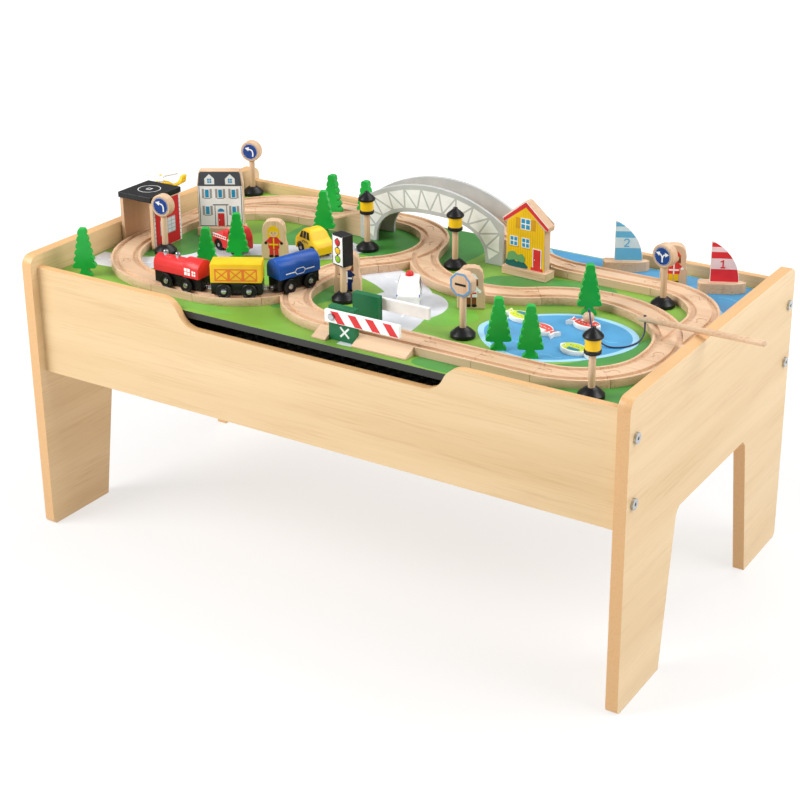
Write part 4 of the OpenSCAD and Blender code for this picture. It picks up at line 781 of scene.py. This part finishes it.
def roof_dome(car, x, share):
    """A lamp on a car's roof, at a share of its height."""
    steps = [(0, -0.8), (4.9, -0.8), (5.1, 1.2), (4.7, 3.8), (3.4, 5.6), (1.7, 6.3), (0, 6.5)]
    place = CARS[car] @ shift(x, 0, CAR_LOW_Z + share * CAR_H)
    turned_piece(car + "_dome", [(one_colour("red", steps), place)], "board")


def toy_details():
    taxi, truck, police = (toy_sides(place @ shift(0, 0, CAR_LOW_Z)) for place in CARS.values())
    check_rows = [13.6 + 1.6 * (i % 2) for i in range(7)]
    checks = [rect(2 * i - 5, low, 2 * i - 3, low + 1.6) for i, low in enumerate(check_rows)]
    windows = [[(-9.0, 19.4), (-1, 19.4), (-1, 29), (-5.2, 29)],
               [(0.2, 19.4), (6.2, 19.4), (6.2, 29), (0.2, 29)],
               [(7.4, 19.4), (14.4, 19.4), (11.4, 28), (7.4, 29)]]
    printed("taxi_prints", taxi, [("glass", wrapped(windows) + checks)], root=TOY_ROOT)
    ladder = [bar(-24, z, 4, z, 0.9) for z in (15, 18.4)]
    ladder += [bar(x, 15, x, 18.4, 0.8) for x in range(-22, 4, 4)]
    windows = [[(8, 20), (21, 20), (19, 28), (8, 28)]]
    layers = [("white", ladder + [rect(6, 14, 24.5, 16.5)]), ("glass", wrapped(windows))]
    printed("truck_prints", truck, layers, root=TOY_ROOT)
    roof_dome("truck", x=14.0, share=0.95)
    windows = [[(-13, 20.5), (-1.5, 20.5), (-1.5, 28.5), (-10, 28.5)],
               [(0, 20.5), (13, 20.5), (9.5, 28), (0, 28.5)]]
    layers = [("glass", wrapped(windows)), ("blue", [rect(-25, 14, 25, 16.4)])]
    printed("police_prints", police, layers, root=TOY_ROOT)
    roof_dome("police", x=-2.1, share=0.97)
    screen = loop([(3, 13), (9, 12), (16, 12), (17, 16), (14, 22), (8, 24.5), (3, 24)], 4)
    layers = [("glass", wrapped([screen], COPTER_H)), ("white", [bar(-18, 9.5, 17, 9.5, 1.6)])]
    printed("helicopter_prints", toy_sides(COPTER, COPTER_W, COPTER_H), layers, root=TOY_ROOT)


# Wheels

TRAIN_WHEEL = dict(middle=12.5, axle_z=365.8, radius=9.5, width=3.2)
CAR_WHEEL = dict(middle=10.3, axle_z=356.8, radius=7.5, width=5.0)
AXLE_R = 1.6
PIN_H = 1.2


def wheel_profile(radius, width):
    """A moulded wheel from its inner face out: tyre, raised rim, dished web and a domed steel pin."""
    half = width / 2
    tyre = [(0, -half), (radius - 0.5, -half), (radius, 0.5 - half), (radius, half - 0.6),
            (radius - 0.5, half)]
    web = [(radius * share, half - depth)
           for share, depth in ((0.84, 0), (0.76, 0.8), (0.52, 0.9), (0.46, 0.2))]
    pin = [(radius * share, half + rise * PIN_H)
           for share, rise in ((0.36, 0), (0.33, 0.5), (0.2, 0.9), (0, 1))]
    return one_colour("black", tyre + web) + one_colour("steel", pin)


def wheel_pair(node, base, along, middle, axle_z, radius, width):
    """Both wheels of one axle, on the axle's own body."""
    centre = base @ shift(along, 0, axle_z)
    axle = one_colour("steel", [(0, -middle), (AXLE_R, -middle), (AXLE_R, middle), (0, middle)])
    wheel = wheel_profile(radius, width)
    parts = [(axle, centre @ SIDEWAYS)]
    parts += [(wheel, centre @ turn_z(flip) @ shift(0, middle, 0) @ SIDEWAYS) for flip in (0, 180)]
    turned_piece(node + "_turned", parts, node, [node])


def all_wheels():
    for end, sign in (("front", 1), ("rear", -1)):
        for car, base in TRAIN.items():
            wheel_pair(f"{car}_{end}_wheels", base, sign * WHEEL_BASE / 2, **TRAIN_WHEEL)
        for car, base in CARS.items():
            wheel_pair(f"{car}_{end}_wheels", base, sign * CAR_WHEEL_BASE / 2, **CAR_WHEEL)


# Crossing and bridge

ARM_FACES = [((20, -204.4, 372.5), 0), ((122, -199.4, 372.5), 180)]
STRIPE_LOW = 0.6
STRIPE_HIGH = 14.4
BLOCK_FACES = [((44, -199, 361), 0), ((44, -141, 361), 180)]
GATE_PINS = [((30, -204.6, 380), UPRIGHT), ((30, -135.4, 380), SIDEWAYS)]


def gate_details():
    stripes = [[(x, STRIPE_HIGH), (x + 11, STRIPE_HIGH), (x + 21, STRIPE_LOW), (x + 10, STRIPE_LOW)]
               for x in range(8, 81, 24)]
    for name, face in zip(("gate_stripes", "gate_stripes_far"), faces_at(ARM_FACES)):
        printed(name, [face], [("red", stripes)], "front_gate")
    cross = [bar(-6, -6, 6, 6, 2.4), bar(-6, 6, 6, -6, 2.4)]
    printed("block_crosses", faces_at(BLOCK_FACES), [("white", cross)])
    pin = one_colour("steel", [(0, 0.2), (4.1, 0.2), (4.15, 1.5), (3.4, 1.9), (1.6, 1.8), (0, 1.7)])
    pins = [(pin, shift(*place) @ face) for place, face in GATE_PINS]
    turned_piece("gate_pins", pins, "board", segments=20)


BRIDGE_FACES = [((-37, 118.5, BOARD_Z), 0), ((-37, 165.5, BOARD_Z), 180)]
BRIDGE_HALF = 111.0
RIM_R = 193.5
RIM_TOP = 91.0
ARCH_HALF = 84.5
ARCH_H = 52.0
ARCH_POWER = 2 / 0.77


def rim_z(x):
    return RIM_TOP - RIM_R + sqrt(RIM_R ** 2 - x * x)


def shrunk(triangle, inset):
    """A triangle with its sides moved in."""
    a, b, c = triangle
    la, lb, lc = (b - c).length, (c - a).length, (a - b).length
    around = la + lb + lc
    middle = (a * la + b * lb + c * lc) / around
    radius = abs((b - a).cross(c - a)) / around
    keep = max(0.05, 1 - inset / radius)
    return [tuple(middle + (p - middle) * keep) for p in (a, b, c)]


def even_points(line, count):
    """Points at even shares of a line's length."""
    run = [0.0]
    for p, q in zip(line, line[1:]):
        run.append(run[-1] + dist(p, q))
    out = []
    for k in range(count):
        goal = run[-1] * k / (count - 1)
        i = max(j for j, done in enumerate(run[:-1]) if done <= goal)
        out.append(Vector(line[i]).lerp(Vector(line[i + 1]), (goal - run[i]) / (run[i + 1] - run[i])))
    return out


def truss(count=25, foot=4.0, edge=4.6, strut=1.2):
    """Pale triangles between the rim and the arch, from one foot to the other."""
    reach = BRIDGE_HALF - edge
    outer = [(reach * k / 20, rim_z(reach * k / 20) - edge - 1) for k in range(-20, 21)]
    turns = [pi * (1 - k / 60) for k in range(61)]
    inner = [(copysign((ARCH_HALF + edge) * abs(cos(a)) ** (2 / ARCH_POWER), cos(a)),
              (ARCH_H + edge) * sin(a) ** (2 / ARCH_POWER)) for a in turns]
    outer = even_points([(-reach, foot)] + outer + [(reach, foot)], count)
    inner = even_points([(-ARCH_HALF - edge, foot)] + inner[3:-3] + [(ARCH_HALF + edge, foot)], count)
    chain = [(outer if k % 2 else inner)[k] for k in range(count)]
    return [shrunk(t, strut) for t in zip(chain, chain[1:], chain[2:])]


def bridge_details():
    printed("bridge_truss", faces_at(BRIDGE_FACES), [("truss", truss())])


# Buildings

GARAGE_WALLS = [((-351.5, -40, BOARD_Z), 90), ((-408.5, -40, BOARD_Z), -90)]
GARAGE_TOP = (-380, -40, 423)
PLINTH_H = 11
HOUSE_HALF_T = 7
WHITE_HOUSE = at(spot("ramp", -0.508, 0.172), 31, BOARD_Z + PLINTH_H)
YELLOW_HOUSE = at(spot("bow", 0.201, -0.253), -3, BOARD_Z + PLINTH_H)
PLANK_W = 3.5


def garage_details():
    courses = [bar(x, z, x + 1.5, z, 0.7) for x in (-26, 24.5) for z in range(4, 64, 6)]
    window = rect(-15, 17, 15, 38)
    grid = [bar(-15, z, 15, z, 0.8) for z in (22.2, 27.5, 32.8)]
    grid += [bar(x, 17, x, 38, 0.8) for x in (-7.5, 0, 7.5)]
    layers = [("brick", [rect(-27, 1, 27, 65)]),
              ("white", [rect(-27.3, 1, -24.3, 65), rect(24.3, 1, 27.3, 65)]), ("black", courses),
              ("road", [window]), ("shutter", grid + band(window, 1.0))]
    for name, wall in zip(("garage_right_print", "garage_left_print"), faces_at(GARAGE_WALLS)):
        printed(name, [wall], layers)
    pad = [("white", band(disc(0, 0, 15, 30), 0.9) + [box_at(0, 0, 7, 7)]),
           ("black", [box_at(0, 0, 4.4, 4.4)])]
    printed("garage_roof_print", [flat(shift(*GARAGE_TOP))], pad)


def window_parts(x, y, width, height):
    """A tall window with shutters and a sill: lists by colour."""
    sill_y = y - height / 2 - 1.4
    sill_half = width / 2 + 1.8
    return {"white": [box_at(x, y, width + 2.4, height + 2)],
            "pane": [box_at(x, y, width, height)],
            "shutter": [box_at(x + s * (width / 2 + 2.8), y, 3.0, height + 2) for s in (-1, 1)],
            "slate": [bar(x - sill_half, sill_y, x + sill_half, sill_y, 1.0)]}


def gather(parts, key):
    return [outline for part in parts for outline in part[key]]


def white_house():
    roof = [(-29.6, 58.6), (29.6, 58.6), (27.6, 76.5), (25.8, 78.6), (-25.8, 78.6), (-27.6, 76.5)]
    windows = [window_parts(x, y, 5, 11) for x, y in ((-18, 48), (0, 48), (18, 48), (-18, 24), (18, 24))]
    gable = [(-6.6, 61), (6.6, 61), (6.6, 69), (0, 75.5), (-6.6, 69)]
    dormers = [moved(gable, x, 0) for x in (-14, 14)]
    lights = [o for x in (-14, 14) for o in panes(x, 66, 5.4, 6, 0.6)]
    trim = [bar(-29.4, 2, 29.4, 2, 1.2), bar(-28.4, 2, -28.4, 58, 0.9), bar(28.4, 2, 28.4, 58, 0.9),
            bar(-10.5, 32, 10.5, 32, 1.5), bar(-8, 2, -8, 31, 0.9), bar(8, 2, 8, 31, 0.9)]
    fanlight = disc(0, 22.2, 4.6, 14, sweep=180)
    layers = [("cream", [rect(-30, 1, 30, 59)]), ("slate", [roof] + trim + gather(windows, "slate")),
              ("shutter", gather(windows, "shutter")),
              ("white", dormers + gather(windows, "white") + [rect(-6.4, 2, 6.4, 26)]),
              ("pane", lights + gather(windows, "pane") + [fanlight]),
              ("red", [rect(-4.4, 2, 4.4, 20)]), ("white", [disc(-2.6, 10.5, 0.7, 10)])]
    printed("white_house_print", both_faces(WHITE_HOUSE, HOUSE_HALF_T), layers)


def yellow_house():
    wall = [(-27.6, 0.8), (27.6, 0.8), (27.6, 55), (0, 83.5), (-27.6, 60)]
    eave = [(-33.4, 62.4), (-0.9, 88.4), (0.6, 88.4), (33.6, 59.6), (32.4, 55.6), (0, 82), (-32.2, 58.6)]
    edge = [(-34, 63.4), (-1.4, 89.2), (1, 89.2), (34.2, 60.4), (33.4, 58.8), (0.4, 87), (-0.8, 87),
            (-33.6, 61.4)]
    seams = [PLANK_W * k for k in range(-7, 8)]
    planks = [bar(x, 1, x, 78 - 0.75 * abs(x), 0.5) for x in seams]
    frames = [box_at(0, 60, 14.6, 15), box_at(-17, 35, 12, 13), box_at(0.5, 35, 12, 13)]
    lights = panes(0, 60, 12.4, 12.8, 1.6) + panes(-17, 35, 10, 11, 1.4) + panes(0.5, 35, 10, 11, 1.4)
    shutters = [box_at(x, 60, 6.4, 14) for x in (-11.4, 11.4)]
    sills = [bar(x - 6.4, 27.6, x + 6.4, 27.6, 1.2) for x in (-17, 0.5)]
    sills += [side for shutter in shutters for side in band(shutter, 0.6)]
    bush = loop([(-27, 1), (-27.4, 9), (-20, 12), (-13, 8), (-6, 10), (1.5, 6), (2, 1)], 5)
    crown = loop([(-26, 8), (-25, 18), (-17, 21), (-11, 17), (-5, 19), (0, 13), (-4, 8), (-15, 10)], 5)
    layers = [("yellow", [wall]), ("plank", planks), ("white", [edge]), ("red", [eave]),
              ("ochre", shutters), ("plank", sills), ("white", frames + [rect(11, 4, 24, 30)]),
              ("pane", lights), ("red", [rect(12.2, 4, 22.8, 29), rect(8.5, 0.8, 26, 4.6)]),
              ("bush", [bush]), ("leaf", [crown]), ("white", [disc(14.2, 15, 0.7, 10)])]
    printed("yellow_house_print", both_faces(YELLOW_HOUSE, HOUSE_HALF_T), layers)


# Signs, lamps and the traffic light

SIGN_MIDDLE_Z = BOARD_Z + 66.0
SIGN_R = 15.0
SIGN_HALF_T = 6.0
SIGN_EDGE = 1.6
SIGNS = [(spot("left", -0.625, -0.188), 6, "bend"), (spot("rear", -1.079, 1.039), 15, "bend"),
         (spot("outer", 0.22, 0.407), -11, "fork"), (spot("pond", -0.766, -0.39), -3, "halt")]
LAMPS = [spot("loop", 0.126, -0.125), spot("bow", -0.541, -0.424), spot("corner", 0.578, -0.883)]
LAMP_Z = BOARD_Z + 51.0
SIGNAL_AT = spot("gate", -0.274, -0.117)
SIGNAL = at(SIGNAL_AT, -15, BOARD_Z + 47)
SIGNAL_HALF_W = 11
SIGNAL_H = 40
SIGNAL_HALF_T = 8
SIGNAL_EDGE = 1.4


def post_head(name, outline, half_t, base, key, edge):
    """A block on top of a post, with rounded edges."""
    solid = bmesh.new()
    prism(solid, outline, -half_t, half_t, flat(base @ UPRIGHT))
    round_edges(piece(name, solid, [key], "board", ["post_heads"]), edge, 3)


def post_bases():
    """Turned bases: an upright rim under a cone."""
    cone = [(14.4, 5.3), (10.6, 8.8), (7.4, 11.2), (5.6, 12), (0, 12)]
    profile = one_colour("black", [(0, 0), (14.6, 0), (15, 0.4), (15, 4.6)] + cone)
    bases = [(profile, at(place)) for place in [sign[0] for sign in SIGNS] + LAMPS + [SIGNAL_AT]]
    turned_piece("post_bases_turned", bases, "board", ["post_bases"], segments=40)


def sign_layers(kind):
    if kind == "halt":
        border = moved(octagon(13.6), 0, 0, 0.94)
        return [("border", band(border, 2.4)), ("black", [rect(-7.5, -1.4, 7.5, 1.4)])]
    if kind == "bend":
        arrow = [ribbon(smooth([(4.2, -7.2), (4.4, -2), (2.6, 2.2), (-3.4, 4.0)], 5), 2.0),
                 arrow_head(-4.0, 4.1, 170, 4.0)]
    else:
        branch = smooth([(0, -2), (2, 1.6), (5.2, 2.8)], 4)
        arrow = [bar(0, -7.6, 0, -1, 2.0), ribbon(mirrored(branch), 1.9), ribbon(branch, 1.9),
                 arrow_head(-6.0, 3.0, 170, 3.5), arrow_head(6.0, 3.0, 10, 3.5)]
    return [("sign_blue", [disc(0, 0, 11.8, 36)]), ("white", band(disc(0, 0, 11.0, 32), 0.35)),
            ("white", arrow)]


def signs():
    for i, (place, turn, kind) in enumerate(SIGNS):
        base = at(place, turn, SIGN_MIDDLE_Z)
        outline = octagon(SIGN_R) if kind == "halt" else disc(0, 0, SIGN_R, 48)
        post_head(f"sign_head_{i}", outline, SIGN_HALF_T, base, "stick", SIGN_EDGE)
        printed(f"sign_print_{i}", both_faces(base, SIGN_HALF_T), sign_layers(kind))


def lamps():
    foot = [(0, 0), (8.8, 0), (9.6, 0.8), (9.6, 4)]
    glass = [(8.7, 5), (8.9, 8), (8.5, 11.5), (8.9, 15)]
    roof = [(8.7, 18), (10.6, 18), (11.5, 19), (11.4, 21), (9.4, 23.4), (5.6, 26.6), (3.4, 28.4),
            (3.1, 29.6), (2.2, 30.7), (0, 31)]
    profile = one_colour("black", foot) + one_colour("yellow", glass) + one_colour("black", roof)
    heads = [(profile, at(place, z=LAMP_Z)) for place in LAMPS]
    turned_piece("lamp_heads", heads, "board", ["post_heads"], segments=40)


def traffic_light():
    outline = rect(-SIGNAL_HALF_W, 0, SIGNAL_HALF_W, SIGNAL_H)
    post_head("signal_box", outline, SIGNAL_HALF_T, SIGNAL, "black", SIGNAL_EDGE)
    shield = loop([(-9, 3), (-8, 2), (8, 2), (9, 3), (9, 37), (8, 38), (-8, 38), (-9, 37)], 2)
    rows = ((30.5, "stop"), (19.7, "amber"), (9, "go"))
    hood = [(-5.2, 1.4), (0, 6.2), (5.2, 1.4), (4.4, -2), (0, -4.9), (-4.4, -2)]
    dark = [moved(hood, 0, y) for y, _ in rows] + [disc(0, y, 4.9) for y, _ in rows]
    printed("signal_face", both_faces(SIGNAL, SIGNAL_HALF_T), [("white", [shield]), ("black", dark)])
    for y, key in rows:
        lens = one_colour(key, [(0, -0.3), (4.0, -0.3), (4.0, 0.2), (3.0, 0.7), (1.5, 1.0), (0, 1.1)])
        lenses = [(lens, SIGNAL @ turn_z(t) @ UPRIGHT @ shift(0, y, SIGNAL_HALF_T)) for t in (0, 180)]
        turned_piece("signal_" + key, lenses, "board", segments=24)


# Figures, fish and boats

FIGURES = [(spot("left", 0.446, 0.266), 25, "amber yellow red amber red black"),
           (spot("gate", -0.367, 0.094), 25, "brown navy navy white navy skin"),
           (spot("bow", 0.162, -1.3), 30, "brown white white red brown white"),
           (spot("outer", 0.054, 1.016), 25, "brown red red white yellow white")]
FIGURE_HALF_T = 6.5


def figures():
    """Plain workers in work clothes, with dots for eyes and a small smile."""
    arms = [bar(4 * side, 29, 9.5 * side, 24, 3.4) for side in (-1, 1)]
    hands = [disc(x, 23, 2, 12) for x in (-10.4, 10.4)]
    body = loop([(-5.4, 31), (5.4, 31), (6.8, 24), (6.4, 15), (-6.4, 15), (-6.8, 24)], 3)
    trousers = [rect(-6, 6, -0.6, 15.6), rect(0.6, 6, 6, 15.6)]
    locks = loop([(-8, 30), (-7.8, 38), (-5, 43), (5, 43), (7.8, 38), (8, 30), (4, 31.5), (-4, 31.5)], 4)
    cap = [disc(0, 39.6, 7, 18, sweep=180), rect(-8, 39, 8, 40.8)]
    smile = ribbon([(1.7 * cos(a), 35.2 + 1.1 * sin(a)) for a in (3.5, 4.1, 4.7, 5.3, 5.9)], 0.45)
    boots = [disc(x, 4.8, 3.2, 14, squash=0.6) for x in (-3.6, 3.6)]
    eyes = [disc(x, 37.0, 0.65, 10) for x in (-2.1, 2.1)]
    for i, (place, turn, colours) in enumerate(FIGURES):
        hair, hat, coat, belt, legs, glove = colours.split()
        layers = [(hair, [locks]), (coat, arms + [body]), (legs, trousers),
                  ("skin", [disc(0, 37.0, 5.9, 24)]), (glove, hands),
                  (belt, [rect(-6.3, 20, 6.3, 22), rect(-0.8, 15, 0.8, 30)]), (hat, cap),
                  ("coral", [smile]), ("black", boots + eyes)]
        printed(f"figure_print_{i}", both_faces(at(place, turn), FIGURE_HALF_T), layers)


FISH = [((-0.517, 0.252), -18, "lime", "teal"), ((-0.21, 0.081), 160, "coral", "white"),
        ((0.259, -0.185), 170, "lime", "teal"), ((0.1, 0.392), -8, "coral", "white")]
FISH_R = 21.04
FISH_HALF_W = 12.0
FISH_T = 6
FISH_PRINT_SHARE = 0.84  # how much of the half width is coloured


def fish():
    """Coloured tops with a band and dots on the white cut-outs."""
    back = [(x, (sqrt(FISH_R ** 2 - x * x) - FISH_R + FISH_HALF_W) * FISH_PRINT_SHARE)
            for x in range(-15, 16, 2)]
    body = back + [(x, -y) for x, y in back[::-1]]
    tail = [(-16, 1.4), (-22, 6.0), (-20.4, 0), (-22, -6.0), (-16, -1.4)]
    saddle = [(x, y * 0.92) for x, y in back[2:11]] + [(x, y * 0.2) for x, y in back[2:11][::-1]]
    dots = [disc(4 * k - 9, 1.2 * (k % 2) - 3.5, 0.9, 10) for k in range(5)]
    for i, (place, turn, skin, mark) in enumerate(FISH):
        layers = [(skin, [body, tail]), (mark, [saddle] + dots), ("white", [disc(12, 2, 1.6, 14)]),
                  ("black", [disc(12.3, 2, 0.9, 12)])]
        printed(f"fish_print_{i}", [flat(at(spot("pond", *place), turn, BOARD_Z + FISH_T))], layers)


BOATS = [(spot("outer", -0.508, 1.126), 28, "sail_blue", "sail_pale", "2"),
         (spot("outer", 0.553, 1.048), 26, "sail_red", "sail_rose", "1")]
SAIL_X = -15.6
SAIL_Z = BOARD_Z + 14.0
SAIL_L = 36.0
SAIL_H = 54.0
SAIL_HALF_T = 1.5
SAIL_HEM = 0.7
SAIL_R = (SAIL_L ** 2 + SAIL_H ** 2) / (2 * SAIL_L)
STRIPE_ENDS = (0.6, 17, 31, 39.5, 46, 51.5)  # dark and pale stripes in turn
NUMBER_AT = (15, 24)
NUMBER_W = 1.7
DIGITS = {"1": [[(-2.6, 2.6), (0.4, 5), (0.4, -5)], [(-2.6, -5), (3.4, -5)]],
          "2": [smooth([(-3, 2.6), (-1.6, 4.8), (1.6, 4.8), (3, 2.4), (1.6, -0.6), (-3, -4.8)], 4),
                [(-3, -4.8), (3.4, -4.8)]]}


def sail_band(low, high):
    """A stripe across the sail, a little inside its edges."""
    edge = [(SAIL_L - SAIL_R + sqrt(SAIL_R ** 2 - z * z) - SAIL_HEM, z)
            for z in (low + (high - low) * k / 6 for k in range(7))]
    return [(SAIL_HEM, low)] + edge + [(SAIL_HEM, high)]


def boats():
    stripes = [sail_band(low, high) for low, high in zip(STRIPE_ENDS, STRIPE_ENDS[1:])]
    for i, (place, turn, dark, pale, digit) in enumerate(BOATS):
        faces = both_faces(at(place, turn, SAIL_Z) @ shift(SAIL_X, 0, 0), SAIL_HALF_T)
        for name, face, flip in zip(("sail_print", "sail_print_far"), faces, (list, mirrored)):
            number = [flip(moved(ribbon(flip(line), NUMBER_W), *NUMBER_AT)) for line in DIGITS[digit]]
            layers = [((dark, pale)[k % 2], [flip(stripe)]) for k, stripe in enumerate(stripes)]
            printed(f"{name}_{i}", [face], layers + [(dark, number)])


# Stage

FLOOR_HALF_M = 8
SKY_STRENGTH = 0.3
LIGHT_AIM_M = (0, 0, 0.3)
CAMERA_REACH_M = 100
# Each light's name, place and size in metres, and power in watts
LIGHTS = [("key", (-1.4, -1.5, 1.8), 1.4, 60), ("side", (2.4, 0.4, 2.4), 2.0, 66),
          ("back", (0.2, 1.6, 2.8), 2.0, 38)]


def stage():
    scene = bpy.context.scene
    scene.view_settings.view_transform = "Standard"
    mesh = bpy.data.meshes.new("floor")
    corners = [(x, y, 0) for x, y in rect(-FLOOR_HALF_M, -FLOOR_HALF_M, FLOOR_HALF_M, FLOOR_HALF_M)]
    mesh.from_pydata(corners, [], [(0, 1, 2, 3)])
    mesh.materials.append(glowing_floor())
    floor = add_object("floor", mesh)
    world = bpy.data.worlds.new("studio")
    world.use_nodes = True
    sky = world.node_tree.nodes["Background"].inputs
    sky["Color"].default_value = PURE_WHITE
    sky["Strength"].default_value = SKY_STRENGTH
    scene.world = world
    for name, place, size, watts in LIGHTS:
        light = bpy.data.lights.new(name, "AREA")
        light.size = size
        light.energy = watts
        lamp = add_object(name, light)
        lamp.location = place
        lamp.rotation_euler = (Vector(LIGHT_AIM_M) - Vector(place)).to_track_quat("-Z", "Y").to_euler()


def camera():
    data = bpy.data.cameras.new("camera")
    data.sensor_width = SENSOR
    data.lens = CAMERA_FOCAL_PX / FRAME_PX * SENSOR
    data.shift_x = (FRAME_PX / 2 - CAMERA_MIDDLE_PX[0]) / FRAME_PX
    data.shift_y = (CAMERA_MIDDLE_PX[1] - FRAME_PX / 2) / FRAME_PX
    data.clip_end = CAMERA_REACH_M
    obj = add_object("camera", data)
    sin_y, cos_y = sin(CAMERA_YAW), cos(CAMERA_YAW)
    sin_p, cos_p = sin(CAMERA_PITCH), cos(CAMERA_PITCH)
    ahead = Vector((-sin_y * cos_p, cos_y * cos_p, -sin_p))
    right = Vector((cos_y, sin_y, 0))
    axes = Matrix((right, right.cross(ahead), -ahead)).transposed().to_4x4()
    obj.matrix_world = Matrix.Translation(Vector(CAMERA_AT) * MM) @ axes
    bpy.context.scene.camera = obj


for build in (camera, fishing_line, line_knot, board_art, plate_studs, all_wheels, engine_details,
              wagon_details, toy_details, gate_details, bridge_details, garage_details, white_house,
              yellow_house, post_bases, signs, lamps, traffic_light, figures, fish, boats, stage):
    build()
